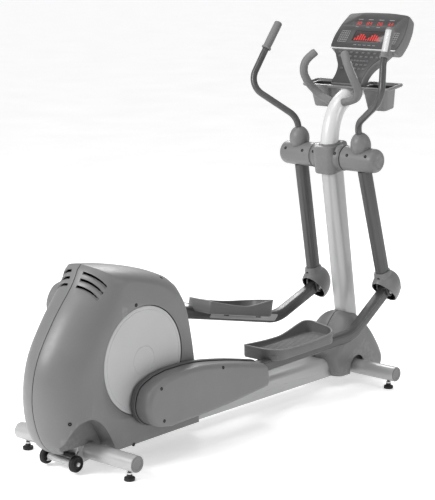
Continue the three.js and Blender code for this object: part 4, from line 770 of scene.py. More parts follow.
def tray():
    front, length, half, z0, tilt = 1.592, 0.118, 0.231, 1.279, radians(9)
    rim, plate, inner, outer, depth, wall, taper = 0.012, 0.005, 0.078, 0.206, 0.104, 0.0035, 0.014
    turn = Matrix.Translation((REAR_X + front, 0, z0)) @ Matrix.Rotation(-tilt, 4, "Y")

    def rings(levels):
        return [[(x, y, z) for x, y in outline] for outline, z in levels]

    deck_outline = oblong(0, -half, length, half, 0.018, 6)
    levels = ((0.004, -rim), (0.001, 0.003 - rim), (0, 0.006 - rim), (0, -0.003), (0.001, -0.0008),
        (0.004, 0))
    deck = loft("accessory_tray_body", rings([(inset(deck_outline, shrink), z) for shrink, z in levels]))
    cutters = []
    for side, sign in SIDES:
        y0, y1 = sorted((sign * inner, sign * outer))
        body = oblong(0.014, y0, length - 0.014, y1, 0.022, 6)
        foot = oblong(0.014 + taper / 2, y0 + taper, length - 0.014 - taper / 2, y1 - taper, 0.02, 6)
        outside = [(inset(foot, 0.006), -depth), (inset(foot, 0.0018), 0.0018 - depth),
            (foot, 0.006 - depth), (body, -0.004)]
        combine(deck, loft("bin", rings(outside)), how="UNION")
        low_z = wall - depth
        room = [(inset(foot, wall + 0.006), low_z), (inset(foot, wall), low_z + 0.006),
            (inset(body, wall), -0.0005), (inset(body, wall - 0.002), 0.02)]
        cutters.append(loft("room", rings(room)))
        # A near-black sheet inside each bin: painted shade for the bin's dark interior.
        painted_shade_sheet = [(inset(foot, wall + 0.0065), low_z + 0.0003), (inset(foot, wall + 0.0004),
            low_z + 0.0064), (inset(body, wall + 0.0004), -0.011)]
        hollow = [(inset(foot, wall + 0.0078), low_z + 0.0018), (inset(foot, wall + 0.0019),
            low_z + 0.0076), (inset(body, wall + 0.0019), -0.0108), (inset(body, wall + 0.0016), 0.01)]
        liner = combine(loft(f"bin_liner_{side}", rings(painted_shade_sheet)), loft("hollow", rings(hollow)))
        finish(moved(liner, turn), "base", BLACK_RUBBER)
        low, high = sorted((sign * (inner - 0.012), sign * (half - rim)))
        well = [(oblong(rim, low + 0.003, length - rim, high, 0.012, 6), -rim + plate),
            (oblong(rim - 0.0015, low + 0.0015, length - rim + 0.0015, high + 0.0015, 0.013, 6), 0.01)]
        cutters.append(loft("well", rings(well)))
    combine(deck, *cutters)
    moved(deck, turn)
    neck = console_slab("neck", key_outline(-0.0006), -0.004, 0.046)
    finish(combine(deck, neck, mast_room(0.0386)), "base", CASING, ["accessory_tray"], bevel=0.0008)


def plate_section(outer, inner, start, end, count=12):
    """Section of a thin plate that wraps part of the way round a grip."""
    turn = np.linspace(start, end, count)
    outside = [(outer * cos(a), outer * sin(a)) for a in turn]
    return outside + [(inner * cos(a), inner * sin(a)) for a in turn[::-1]]


def fixed_bars():
    anchors = [(1.548, 0.026, 1.214), (1.556, 0.086, 1.233), (1.537, 0.118, 1.265), (1.501, 0.128, 1.304),
        (1.474, 0.125, 1.348), (1.469, 0.107, 1.391), (1.493, 0.075, 1.429)]
    for side, sign in SIDES:
        path = catmull([(REAR_X + x, sign * y, z) for x, y, z in anchors], 36)
        bar = sweep(f"fixed_grip_{side}", path, circle(0.0172, 36), (0, 0, 1), rounding=0.0065)
        finish(combine(bar, mast_room(0.0384)), "base", GRIP, [f"fixed_handlebar_{side}"])
        plate = sweep(f"fixed_grip_sensor_{side}", path[20:30], plate_section(0.0178, 0.0166, 0.35, 1.95),
            (0, 0, 1))
        finish(plate, "base", SENSOR)


# ---- drive housing and shroud


def dome(name, seam, side, half, levels, groove=0.0):
    """Half of a casing: its outline goes from seam to side as a quarter ellipse goes out."""
    seam, side = np.asarray(seam), np.asarray(side)
    rings = []
    if groove:
        for y, depth in ((0, groove), (0.0012, groove), (0.0016, groove * 0.3)):
            rings.append([layout(u, y, v) for u, v in inset(seam, depth)])
    for a in np.linspace(0, pi / 2, levels + 1):
        if a == 0 and groove:
            rings.append([layout(u, 0.0026, v) for u, v in seam])
            continue
        outline = seam + (side - seam) * (1 - cos(a))
        rings.append([layout(u, half * sin(a), v) for u, v in outline])
    return loft(name, rings)


def side_view(parts, counts):
    return np.concatenate([catmull(np.array(part) / 1000, n) for part, n in zip(parts, counts)])


HOUSING_SEAM = ([[-112, 58], [-181, 136], [-215.5, 270], [-192, 416], [-112, 553], [-15, 672], [16, 728]],
    [[34, 746], [131, 733], [234, 712], [330, 686], [408, 656]], [[440, 632], [482, 555], [515, 430],
    [535, 300], [548, 160], [552, 72]])
HOUSING_SIDE = ([[-40, 66], [-66, 136], [-56, 270], [-33, 410], [32, 524], [100, 620], [120, 662]],
    [[132, 673], [168, 674], [246, 655], [322, 628], [366, 598]], [[390, 578], [430, 525], [458, 420],
    [480, 300], [500, 160], [506, 72]])
SHROUD_SEAM = ([[1446, 44], [1412, 130], [1425, 172], [1480, 232], [1545, 296], [1585, 304]],
    [[1640, 292], [1712, 232], [1776, 150], [1806, 84], [1798, 42]])
SHROUD_SIDE = ([[1478, 44], [1450, 110], [1466, 150], [1505, 186], [1545, 212], [1575, 220]],
    [[1620, 216], [1680, 172], [1726, 116], [1752, 74], [1748, 42]])


POCKET_DEPTH = 0.066  # its back wall, from the middle plane


def pocket_outline(grow=0.0):
    def bezier(points, count):
        t = np.linspace(0, 1, count)[:, None]
        points = np.array(points)
        while len(points) > 1:
            points = [a * (1 - t) + b * t for a, b in zip(points[:-1], points[1:])]
        return points[0]

    arch = bezier([(-0.155, 0.068), (-0.155, 0.214), (-0.095, 0.216), (-0.052, 0.210)], 22)
    fall = bezier([(-0.052, 0.210), (0.008, 0.194), (0.058, 0.079)], 14)[1:]
    outline = [(-0.155, -0.01), *arch, *fall, (0.072, 0.06), (0.072, -0.01)]
    return inset(outline, -grow)


def floor_cuts(x, room, half):
    """Room for a stabiliser and for the spine."""
    rail = fillet(oblong(-half, 0.03, half, 0.1245), [0, 0, 0.04, 0.04], 10)
    beam = loft("beam", [[(at, y, z) for y, z in rail] for at in (REAR_X - 0.056, REAR_X + 1.7225)])
    return rod(TUBE_RADIUS + room, -0.2, 0.2, (x, 0, FLOOR_TUBE_Z)), beam


def shell_room(seam, side, half, levels):
    """The space inside half a casing, open at the middle plane."""
    hollow = dome("hollow", inset(seam, SHELL), inset(side, SHELL), half - SHELL, levels)
    return combine(hollow, slab("filler", inset(seam, SHELL), -0.01, 0.001, 0, 1, layout), how="UNION")


def casing_pair(outer, node):
    """The finished right half, and its mirror image on the left."""
    finish(flip(outer), "base", CASING, [f"{node}_right"], bevel=0.0009)
    left = flip(placed(outer.name.replace("right", "left"), outer.data.copy()))
    finish(left, "base", CASING, [f"{node}_left"])


COOLING_SLOTS = (((0.012, 0.030, 0.722), (0.052, 0.112, 0.672), 0.018),  # start, end and bow
                 ((-0.006, 0.028, 0.702), (0.034, 0.110, 0.651), 0.018),
                 ((-0.024, 0.024, 0.682), (0.016, 0.106, 0.632), 0.016))


def housing():
    counts = (30, 14, 18)
    seam, side = side_view(HOUSING_SEAM, counts), side_view(HOUSING_SIDE, counts)
    outer = dome("drive_housing_shell_right", seam, side, HOUSING_HALF, 16, 0.003)
    vents = []
    for start, end, bow in COOLING_SLOTS:
        anchors = []
        for t in np.linspace(0, 1, 9):
            p = np.array(start) * (1 - t) + np.array(end) * t
            p = p + np.array((1, 0, 0.6)) * bow * sin(pi * t) * 0.4
            anchors.append(np.array(outer.closest_point_on_mesh(Vector((p[0] + REAR_X, p[1], p[2])))[1]))
        vents.append(catmull(anchors, 26))
    hollow = shell_room(seam, side, HOUSING_HALF, 12)
    liner = slab("liner", pocket_outline(SHELL), POCKET_DEPTH - SHELL, 0.2, 0, 1, layout)
    combine(hollow, liner)
    well = rod(DISC_RADIUS + 0.003, 0.06, 0.2, (CRANK.x, 0, CRANK.z), segments=128)
    pocket = slab("pocket", pocket_outline(), POCKET_DEPTH, 0.2, 0, 1, layout)
    bracket = box("bracket", REAR_X - 0.13, REAR_X + 0.02, -0.01, 0.154, -0.001, FLOOR_TUBE_Z + 0.026)
    combine(outer, hollow, pocket, well, *floor_cuts(REAR_X, 0.001, 0.0605), bracket)
    slot = circle(0.0046, 14) * np.array((1.8, 1.0))
    for path in vents:
        combine(outer, sweep("slot", path, slot, (0.35, 0.8, -0.5), rounding=0.002))
    casing_pair(outer, "drive_housing")
    # The seam strip is painted shade in the housing's groove.
    strip("housing_seam_painted_shade", seam[seam[:, 1] > 0.13], 0.0006, 0.0016)


def shroud():
    counts = (30, 24)
    seam, side = side_view(SHROUD_SEAM, counts), side_view(SHROUD_SIDE, counts)
    outer = dome("base_shroud_shell_right", seam, side, SHROUD_HALF, 14, 0.003)
    hollow = shell_room(seam, side, SHROUD_HALF, 10)
    arch = rod(0.05, 0.066, 0.13, (FRONT_X, 0, FLOOR_TUBE_Z), segments=96)
    below = box("below", FRONT_X - 0.05, FRONT_X + 0.05, 0.066, 0.13, 0, FLOOR_TUBE_Z)
    floor = box("floor", FRONT_X - 0.4, FRONT_X + 0.4, -0.01, 0.2, -0.05, 0.042)
    shape = oval(0.102, 0.08, 64)
    post = loft("post", [[(mast_x(z) + a, b, z) for a, b in shape] for z in (0.1, 0.42)])
    combine(outer, hollow, arch, below, *floor_cuts(FRONT_X, GAP, 0.0603), post, floor)
    casing_pair(outer, "base_shroud")
    # The seam strip is painted shade in the shroud's groove.
    strip("shroud_seam_painted_shade", seam[seam[:, 1] > 0.15], 0.0008, 0.0016)


def strip(name, line, depth, half):
    """A near-black strip in the groove between two halves of a casing: painted shade for the dark groove."""
    tangent = np.gradient(line, axis=0)
    normal = np.stack([tangent[:, 1], -tangent[:, 0]], 1)
    normal /= norm(normal, axis=1, keepdims=True)
    rings = []
    for p, n in zip(line, normal):
        top, foot = p + n * depth, p + n * (depth + 0.0014)
        rings.append([layout(top[0], -half, top[1]), layout(top[0], half, top[1]),
            layout(foot[0], half, foot[1]), layout(foot[0], -half, foot[1])])
    finish(loft(name, rings), "base", BLACK_RUBBER)


def discs():
    for side, sign in SIDES:
        back, face, r = DISC_FACE - 0.006, DISC_FACE, DISC_RADIUS
        profile = [(0, back), (r - 0.002, back), (r, back + 0.001), (r, face - 0.0016),
            (r - 0.0012, face - 0.0004), (r - 0.003, face), (r - 0.0115, face + 0.0002),
            (r - 0.0125, face - 0.0007), (r - 0.0145, face - 0.0007), (r - 0.0155, face + 0.0003),
            (0.12, face + 0.0013), (0.06, face + 0.0021), (0.0555, face + 0.0021), (0.0545, face + 0.0012),
            (0.053, face + 0.0012), (0.052, face + 0.0022), (0.02, face + 0.0029), (0, face + 0.003)]
        disc = lathe(f"disc_cover_{side}", profile, (CRANK.x, 0, CRANK.z), (0, sign, 0), 160)
        turn = middle(f"crank_arm_{side}") - Vector((CRANK.x, 0, CRANK.z))
        turn = Vector((turn.x, 0, turn.z)).normalized() * 0.165
        hole = rod(0.013, 0.1, 0.2, (CRANK.x + turn.x, 0, CRANK.z + turn.z), (0, sign, 0), 48)
        finish(combine(disc, hole), "crank", DISC, [f"crank_disc_{side}"], sharp=28)


# ---- swing arms


def fitter(place, body):
    """A finish for pieces made in a moving part's own frame."""
    def fit(obj, look, replaces=(), **how):
        finish(moved(obj, place), body, look, replaces, **how)
    return fit


def arm_frame(side):
    knuckle = KNUCKLE[side]
    rest = atan2(knuckle.x - PIVOT.x, PIVOT.z - knuckle.z)
    return Matrix.Translation((PIVOT.x, 0, PIVOT.z)) @ Matrix.Rotation(-rest, 4, "Y")


def link_frame(side):
    pitch = LINK_PITCH[side]
    x = KNUCKLE[side].x - LINK_LENGTH * cos(pitch)
    z = KNUCKLE[side].z - LINK_LENGTH * sin(pitch)
    return Matrix.Translation((x, 0, z)) @ Matrix.Rotation(-pitch, 4, "Y")


def bar_points(sign):
    anchors = ((0.005, 0, 0.036), (0.005, 0, 0.158), (-0.06, 0.196, 0.305), (0.026, 0.167, 0.424),
        (0.133, 0.151, 0.538))
    return [np.array((x, sign * (ARM_Y + y), z)) for x, y, z in anchors]


HUB_INNER, HUB_RADIUS = 0.0797, 0.052
HOOD_X, HOOD_Z, HOOD_SIZES = 0.008, -0.607, (0.08, 0.054, 0.078)


def hub_profile(grow=0.0):
    inner, end, radius, end_radius = HUB_INNER, 0.25, HUB_RADIUS, 0.034
    profile = [(0, end + grow)]
    for a in np.linspace(0, pi / 2, 11):
        r = end_radius + (radius - 0.0014 - end_radius) * sin(a)
        profile.append((r + grow, end - 0.026 + 0.026 * cos(a) + grow))
    profile += [(radius + grow, 0.19), (radius + grow, inner + 0.0035), (radius - 0.0025 + grow, inner)]
    return profile


def pivot_hub(side, sign, fit):
    bore = [(0.0158, HUB_INNER), (0.0158, 0.232), (0, 0.232)]
    hub = lathe(f"pivot_hub_shell_{side}", hub_profile() + bore, (0, 0, 0), (0, sign, 0), 96)
    groove = [(0.0285, 0.249), (0.0285, 0.252), (0.030, 0.252), (0.030, 0.249), (0.0285, 0.249)]
    combine(hub, lathe("groove", groove, (0, 0, 0), (0, sign, 0), 64))
    fit(hub, CASING, [f"pivot_hub_{side}"], sharp=30)


def swing_tube(side, sign, fit):
    """The grooved tube, its fork for the knuckle pin, and the pin's two bolt heads."""
    y = sign * ARM_Y
    tube = sweep(f"swing_tube_{side}", [(0, y, -0.562), (0, y, -0.545), (0, y, -0.3), (0, y, -0.046)],
        oval(0.05, 0.062, 96, 2.6, [0.32, -0.32, pi - 0.32, pi + 0.32], 0.0013, 0.07), (1, 0, 0),
        rounding=0.0025)
    shape = [(0.0235 * cos(a), -0.59 + 0.0235 * sin(a)) for a in np.linspace(0, pi, 25)]
    shape += [(0.024 * cos(a), -SWING_LENGTH + 0.024 * sin(a)) for a in np.linspace(pi, 2 * pi, 25)]
    ears = [slab("ear", shape, *sorted((y + edge * 0.0205, y + edge * 0.029)), 0.0012, 3)
        for edge in (-1, 1)]
    fork = box("crown", -0.02, 0.02, y - 0.029, y + 0.029, -0.572, -0.556, 0.003)
    combine(fork, *ears, how="UNION")
    fork.name = f"knuckle_fork_{side}"
    combine(fork, rod(0.0103, -0.1, 0.1, (0, y, -SWING_LENGTH)))
    fit(tube, DARK_TUBE, [f"swing_tube_{side}"], sharp=40)
    fit(fork, DARK_TUBE, bevel=0.0006)
    head = rounded([(0, 0), (0.0155, 0), (0.0155, 0.003), (0.0105, 0.0035), (0.0105, 0.0095),
        (0.006, 0.0105), (0, 0.0105)], 0.0006, 2)
    bolt = [lathe("head", head, (0, y + edge * 0.0292, -SWING_LENGTH), (0, edge, 0),
        6 if edge == sign else 32) for edge in (-1, 1)]
    fit(join(f"knuckle_bolt_heads_{side}", bolt), STEEL, sharp=25)


def handlebar(side, sign, fit):
    """The bent bar, its ribbed grip with a sensor plate, and the bulb at its foot."""
    points = bar_points(sign)
    end = points[4] * 0.94 + points[3] * 0.06
    path = fillet([*points[:4], end], [0, 0.08, 0.08, 0.08, 0], 14, closed=False)
    path = resample(path, 0.012, closed=False)
    bar = sweep(f"handlebar_tube_{side}", path, circle(0.014, 32), (0, 1, 0.01), rounding=0.003)
    fit(bar, DARK_TUBE, [f"handlebar_{side}"])

    axis = points[4] - points[3]
    length = float(norm(axis))
    start, bore, body, flange = length * 0.16, 0.0143, 0.0175, 0.0195
    profile = [(bore, start), (flange, start), (0.021, start + 0.0015), (0.021, start + 0.0075),
        (flange, start + 0.009), (0.0178, start + 0.0095), (0.0168, start + 0.0125)]
    for k in range(3):
        at = start + 0.022 + k * 0.006
        profile += [(body, at - 0.002), (0.0166, at), (body, at + 0.002)]
    profile += [(body, length * 0.5), (body, length - 0.008), (0.0165, length - 0.0035),
        (0.0135, length - 0.0008), (0, length), (0, length * 0.95), (bore, length * 0.95)]
    grip = lathe(f"moving_grip_{side}", profile, points[3], axis, 48)
    fit(grip, GRIP, [f"hand_grip_{side}"])
    line = [points[3] + axis * t for t in np.linspace(0.31, 0.92, 14)]
    arc = plate_section(0.0181, 0.0168, -0.85, 0.85, 13)
    fit(sweep(f"grip_sensor_{side}", line, arc, (0.2, sign, 0)), SENSOR)

    egg = ball(f"hub_bulb_shell_{side}", (0.005, sign * ARM_Y, 0.066), (0.045, 0.042, 0.054))
    hub_room = lathe("room", hub_profile(GAP) + [(0, HUB_INNER)], (0, 0, 0), (0, sign, 0), 96)
    below = box("below", -0.1, 0.1, *sorted((0, sign * 0.4)), -0.2, 0.012)
    room = sweep("room", path, circle(0.0148, 32), (0, 1, 0.01))
    fit(combine(egg, hub_room, below, room), CASING, [f"hub_bulb_{side}"], bevel=0.0009)


def knuckle_hood(side, sign, fit):
    """A round shell over the knuckle, open below and behind, with a near-black sheet inside as painted shade.
    """
    y = sign * ARM_Y

    def hollow_ball(name, shrink):
        return ball(name, (HOOD_X, y, HOOD_Z), [size - shrink for size in HOOD_SIZES])

    def mouth():
        tilt = Matrix.Rotation(radians(56), 4, "Y")
        corner = Matrix.Translation((-0.017, y, -SWING_LENGTH + 0.002))
        return moved(box("mouth", -0.2, 0.2, -0.2, 0.2, -0.3, 0.0), corner @ tilt)

    def tube_room():
        shape = oval(0.063, 0.051, 64)
        return loft("room", [[(a, y + b, z) for a, b in shape] for z in (-0.66, -0.49)])

    shell = hollow_ball(f"hood_shell_{side}", 0)
    rings = []
    for z, grow in ((-0.56, 0.004), (-0.535, 0.0015), (-0.5265, 0), (-0.524, -0.0009), (-0.523, -0.0025)):
        size = 1 + grow / 0.034
        rings.append([(a * size, y + b * size, z) for a, b in oval(0.074, 0.062, 64)])
    combine(shell, loft("neck", rings), how="UNION")
    # A near-black sheet just inside the shell: painted shade for the hood's dark interior.
    painted_shade_sheet = hollow_ball(f"hood_lining_{side}", 0.0042)
    fit(combine(painted_shade_sheet, hollow_ball("inner", 0.0052), mouth(), tube_room()), BLACK_PLASTIC)
    combine(shell, hollow_ball("inner", 0.004), tube_room(), mouth())
    fit(shell, CASING, [f"knuckle_hood_{side}"], bevel=0.0009)


def swing_arms():
    for side, sign in SIDES:
        fit = fitter(arm_frame(side), f"{side}_arm")
        for part in (pivot_hub, swing_tube, handlebar, knuckle_hood):
            part(side, sign, fit)


def hub_joints():
    """Dark rings that show between the collar and the hubs."""
    for side, sign in SIDES:
        ring = [(0.0506, 0.0785), (0.0526, 0.0785), (0.0526, 0.0801), (0.0506, 0.0801), (0.0506, 0.0785)]
        seam = lathe(f"hub_joint_ring_{side}", ring, PIVOT, (0, sign, 0), 96)
        finish(seam, "base", BLACK_RUBBER)


def ball(name, centre, sizes, around=64, rows=32):
    rings = []
    for b in np.linspace(-pi / 2, pi / 2, rows + 1):
        r = max(cos(b), 1e-6)
        rings.append([(centre[0] + sizes[0] * r * cos(a), centre[1] + sizes[1] * r * sin(a),
            centre[2] + sizes[2] * sin(b)) for a in np.arange(around) * 2 * pi / around])
    return loft(name, rings)


# ---- pedal links


def link_path(rear_trim, front_trim):
    a, b, c = np.array((0.0, 0.0)), np.array(LINK_BEND), np.array((LINK_LENGTH, 0.0))
    rear, front = (b - a) / norm(b - a), (c - b) / norm(c - b)
    path = [a + rear * t for t in np.linspace(rear_trim, norm(b) - 0.06, 12)]
    for t in np.linspace(0, 1, 11)[1:]:
        path.append((b - rear * 0.06) * (1 - t) ** 2 + b * 2 * t * (1 - t) + (b + front * 0.06) * t * t)
    length = norm(c - b)
    path += [b + front * t for t in np.linspace(0.06, length - front_trim, 6)[1:]]
    return path


def link_tube(name, y, grow=0.0, grooves=()):
    path = [(u, y, v) for u, v in link_path(0.026, 0.016)]
    section = oval(0.05 + 2 * grow, 0.044 + 2 * grow, 96, 4, grooves, 0.0011, 0.055)
    return sweep(name, path, section)


def cover_outline(shrink=0.0):
    parts = ([[10, -96], [-78, -62], [-116, 8], [-84, 82], [-8, 108]], [[60, 110], [200, 92], [380, 42],
        [560, -22]], [[582, -46], [584, -108]], [[566, -132], [300, -122], [60, -100]])
    outline = side_view(parts, (30, 18, 5, 12))
    return inset(outline, shrink)


def cover_room(sign):
    y, room = sign * ARM_Y, 0.0015
    boss = rod(0.042 + room, -0.018 - room, 0.018 + room, (0, y, 0))
    return link_tube("room", y, room), boss


def links():
    for side, sign in SIDES:
        fit = fitter(link_frame(side), f"{side}_pedal_link")
        y = sign * ARM_Y

        tube = link_tube(f"link_tube_{side}", y, 0, [s * pi / 2 + d for s in (-1, 1)
            for d in (-0.32, 0.32)])
        clear = [box("clear", LINK_LENGTH - 0.046, LINK_LENGTH + 0.04, *sorted(
            (y + e * 0.019, y + e * 0.06)), -0.06, 0.06) for e in (-1, 1)]
        bores = [rod(r, -0.06, 0.06, (x, y, 0)) for r, x in ((0.013, 0), (0.0103, LINK_LENGTH))]
        boss = lathe("boss", rounded([(0, -0.018), (0.042, -0.018), (0.042, 0.018), (0, 0.018)], 0.0015, 2),
            (0, y, 0), segments=96)
        eye = lathe("eye", rounded([(0, -0.019), (0.024, -0.019), (0.024, 0.019), (0, 0.019)], 0.0012, 2),
            (LINK_LENGTH, y, 0), segments=64)
        combine(tube, boss, how="UNION")
        combine(tube, *clear)
        combine(tube, eye, how="UNION")
        combine(tube, *bores)
        fit(tube, DARK_TUBE, [f"pedal_link_{side}"], bevel=0.0007, sharp=35)

        split = 0.17
        tray_in = slab(f"cover_inner_half_{side}", cover_outline(), sign * 0.147, sign * (split - GAP),
            0.003, 3)
        hollow = slab("hollow", cover_outline(SHELL), sign * 0.151, sign * (split + 0.01), 0, 1)
        combine(tray_in, hollow, *cover_room(sign))
        fit(tray_in, DARK_CASING, [f"link_cover_inner_{side}"], bevel=0.0008)

        outer, bevel, step = 0.236, 0.02, 0.006
        solid, room = [], []
        solid.append([(u, sign * split, v) for u, v in cover_outline(step + 0.0012)])
        solid.append([(u, sign * (split + 0.0012), v) for u, v in cover_outline(step)])
        room.append([(u, sign * (split - 0.001), v) for u, v in cover_outline(step + SHELL)])
        for a in np.linspace(0, pi / 2, 10):
            shrink = step + bevel * (1 - cos(a))
            at = outer - bevel + bevel * sin(a)
            solid.append([(u, sign * at, v) for u, v in cover_outline(shrink)])
            room.append([(u, sign * (at - SHELL), v) for u, v in cover_outline(shrink + SHELL)])
        dish = loft(f"cover_outer_half_{side}", solid)
        combine(dish, loft("hollow", room), *cover_room(sign))
        fit(dish, CASING, [f"link_cover_outer_{side}"], bevel=0.0007, sharp=30)

        bracket = [(0.73, -0.014), (1.165, -0.014), (1.185, 0.016), (0.755, 0.016)]
        drop = Matrix.Rotation(LINK_DROP, 4, "Y")
        bracket = fillet(bracket, 0.005, 4)
        y0, y1 = sorted((y - sign * 0.0222, y - sign * 0.0252))
        plate = slab(f"pedal_bracket_{side}", bracket, y0, y1, 0.0006, 2)
        for u in (0.84, 1.05):
            slot = oblong(u - 0.018, -0.003, u + 0.018, 0.005, 0.0039, 5)
            combine(plate, slab("slot", slot, y - 0.06, y + 0.06))
        fit(moved(plate, drop), SILVER, bevel=0.0003)


# ---- pedals

PEDAL = {"rear": 0.63, "length": 0.42, "inner": 0.05, "outer": 0.215, "wall": 0.006, "under": 0.012}
PEDAL_FLOOR = 0.0306


def pedal_outline(shrink=0.0):
    x0, x1 = PEDAL["rear"] + shrink, PEDAL["rear"] + PEDAL["length"] - shrink
    y0, y1 = PEDAL["inner"] + shrink, PEDAL["outer"] - shrink
    radii = (0.014 - min(shrink, 0.008), 0.046 - shrink / 2, 0.062 - shrink / 2, 0.074 - shrink / 2)
    corners = ((x0, y0), (x1, y0), (x1, y1), (x0, y1))
    signs = ((1, 1), (-1, 1), (-1, -1), (1, -1))
    points = []
    for (x, y), (sx, sy), r, start in zip(corners, signs, radii, (1, 1.5, 0, 0.5)):
        for a in np.linspace(0, pi / 2, 13) + start * pi:
            points.append((x + sx * r + r * cos(a), y + sy * r + r * sin(a)))
    out = []
    for a, b in zip(points, points[1:] + points[:1]):
        parts = max(1, round(dist(a, b) / 0.016))
        out += [(a[0] + (b[0] - a[0]) * k / parts, a[1] + (b[1] - a[1]) * k / parts) for k in range(parts)]
    return np.array(out)


def rim_height(x, y):
    along = min(max((x - PEDAL["rear"]) / PEDAL["length"], 0), 1)
    across = min(max((PEDAL["outer"] - y) / (PEDAL["outer"] - PEDAL["inner"]), 0), 1)
    t = min(max((along - 0.5) / 0.45, 0), 1)
    return 0.062 - 0.012 * sin(pi * along) + t * t * (3 - 2 * t) * 0.024 * across


def pedals():
    for side, sign in SIDES:
        fit = fitter(link_frame(side) @ Matrix.Rotation(LINK_DROP, 4, "Y"), f"{side}_pedal_link")

        base = pedal_outline()

        def ring(shrink, height, share=0):
            """Points a height above the link, plus a share of the rim's own height."""
            edge = inset(base, shrink) if shrink else base
            return [(x, sign * y, height + share * rim_height(*root)) for (x, y), root in zip(edge, base)]

        def lying(u, h, v):
            return (u, sign * v, h)

        under, wall = PEDAL["under"], PEDAL["wall"]
        levels = [(0.005, under), (0.0022, under + 0.0012), (0.0005, under + 0.005), (0, under + 0.009),
            (0, (under + 0.0065) / 2, 0.5), (0, -0.0025, 1), (0.0007, -0.0008, 1), (0.0025, 0, 1),
            (wall - 0.0022, 0, 1), (wall - 0.0005, -0.001, 1), (wall, -0.003, 1),
            (wall, PEDAL_FLOOR + 0.006), (wall + 0.0012, PEDAL_FLOOR + 0.002), (wall + 0.004, PEDAL_FLOOR)]
        tub = loft(f"pedal_tub_{side}", [ring(*level) for level in levels])
        hollow = loft("hollow", [ring(wall + 0.004, under - 0.001), ring(wall + 0.004, 0.0256)])
        room = moved(link_tube("room", sign * ARM_Y, 0.0004), Matrix.Rotation(-LINK_DROP, 4, "Y"))
        combine(tub, hollow, room)
        fit(tub, PEDAL_PLASTIC, [f"pedal_{side}"], bevel=0.0006, sharp=38)

        bead = []
        for (x, y), (dx, dy) in zip(base, inset(base, 0.0032)):
            z = rim_height(x, y) - 0.0008
            out = np.array((x - dx, y - dy)) / max(dist((x, y), (dx, dy)), 1e-6)
            bead.append([(dx + out[0] * 0.0042 * cos(a), sign * (dy + out[1] * 0.0042 * cos(a)),
                z + 0.003 * sin(a)) for a in np.arange(10) * 2 * pi / 10])
        fit(loft(f"pedal_rim_bead_{side}", bead, wrap=True), CASING, slot="dark_casing")

        mat = inset(base, 0.0165)
        base_plate = slab("mat", mat, PEDAL_FLOOR + 0.0002, PEDAL_FLOOR + 0.003, 0.001, 2, lying)
        limit = slab("limit", inset(base, 0.0235), PEDAL_FLOOR, PEDAL_FLOOR + 0.01, 0, 1, lying)
        starts = [PEDAL["rear"] + 0.014 + 0.0155 * k for k in range(26)]
        bars = [slab("bar", oblong(u, 0.05, u + 0.0085, 0.215, 0.001, 2), PEDAL_FLOOR + 0.002,
            PEDAL_FLOOR + 0.0052, 0.0011, 2, lying) for u in starts]
        ridges = combine(join("ridges", bars), limit, how="INTERSECT")
        ridges = join(f"pedal_mat_{side}", [base_plate, ridges])
        fit(ridges, MAT)


# ---- screws


def screw(target, place, outward, radius=0.0072):
    """A near-black, dished screw head, set on the target's surface along a line; its darkness is partly the
    head's own tone and partly painted shade for the recess round it.
    """
    outward = Vector(outward).normalized()
    start = Vector(place) + outward * 0.06
    hit, spot, normal, _ = target.ray_cast(target.matrix_world.inverted() @ start, -outward, distance=0.15)
    if not hit:
        return None
    spot, normal = target.matrix_world @ spot, target.matrix_world.to_3x3() @ normal
    profile = [(0, -0.003), (radius, -0.003), (radius, 0.0004), (radius * 0.88, 0.0011),
        (radius * 0.74, 0.0005), (0, 0.0006)]
    head = lathe("head", profile, (0, 0, 0), (0, 0, 1), 28)
    cross = [box("cross", -0.0006, 0.0006, -0.0026, 0.0026, -0.0022, 0.01), box("cross", -0.0026, 0.0026,
        -0.0006, 0.0006, -0.0022, 0.01)]
    combine(head, *cross)
    return moved(head, Matrix.Translation(spot) @ axes_to(normal))


def round_screw(target, radius, y, angle):
    """A screw on a round face about the pivot shaft."""
    out = Vector((cos(radians(angle)), 0, sin(radians(angle))))
    return screw(target, Vector((PIVOT.x, y, PIVOT.z)) + out * radius, out, 0.0066)


def screw_set(name, body, heads):
    heads = [h for h in heads if h]
    if heads:
        finish(join(name, heads), body, SCREW_WITH_RECESS_SHADE, sharp=30)


def screws():
    pieces = bpy.data.objects
    for side, sign in SIDES:
        places = [(-0.091, 0.661), (0.173, 0.590), (0.153, 0.067)]
        shell = pieces[f"drive_housing_shell_{side}"]
        heads = [screw(shell, layout(x, sign * 0.13, z), (0.0, sign, 0.15)) for x, z in places]
        heads.append(screw(shell, layout(0.347, sign * 0.1, 0.655), (0, sign * 0.4, 1)))
        heads.append(screw(shell, layout(-0.13, sign * 0.1, 0.21), (-0.8, sign, 0)))
        screw_set(f"housing_screws_{side}", "base", heads)
        cover = pieces[f"cover_outer_half_{side}"]
        frame_of = link_frame(side)
        undo = link_frame("right").inverted()
        heads = []
        for x, z in ((0.204, 0.288), (0.546, 0.298), (0.218, 0.163), (0.517, 0.135)):
            local = undo @ Vector((x + REAR_X, 0, z))
            place = frame_of @ Vector((local.x, sign * 0.236, local.z))
            heads.append(screw(cover, place, (0, sign, 0), 0.0066))
        screw_set(f"link_cover_screws_{side}", f"{side}_pedal_link", heads)
        hub = pieces[f"pivot_hub_shell_{side}"]
        heads = []
        for y, angle in ((0.119, 158), (0.212, 154), (0.222, -25)):
            heads.append(round_screw(hub, HUB_RADIUS, sign * y, angle))
        screw_set(f"hub_screws_{side}", f"{side}_arm", heads)
        hood = pieces[f"hood_shell_{side}"]
        turn = arm_frame(side)
        heads = []
        for offset in ((-0.047, -0.004, 0.063), (0.05, -0.035, -0.02)):
            out = Vector((offset[0], -sign * offset[1], offset[2]))
            place = turn @ (Vector((HOOD_X, sign * ARM_Y, HOOD_Z)) + out)
            heads.append(screw(hood, place, turn.to_3x3() @ out.normalized(), 0.006))
        screw_set(f"hood_screws_{side}", f"{side}_arm", heads)
    heads = [round_screw(pieces["pivot_collar_body"], 0.06, y, 157) for y in (-0.058, 0.058)]
    screw_set("collar_screws", "base", heads)


# ---- what stays from the CAD


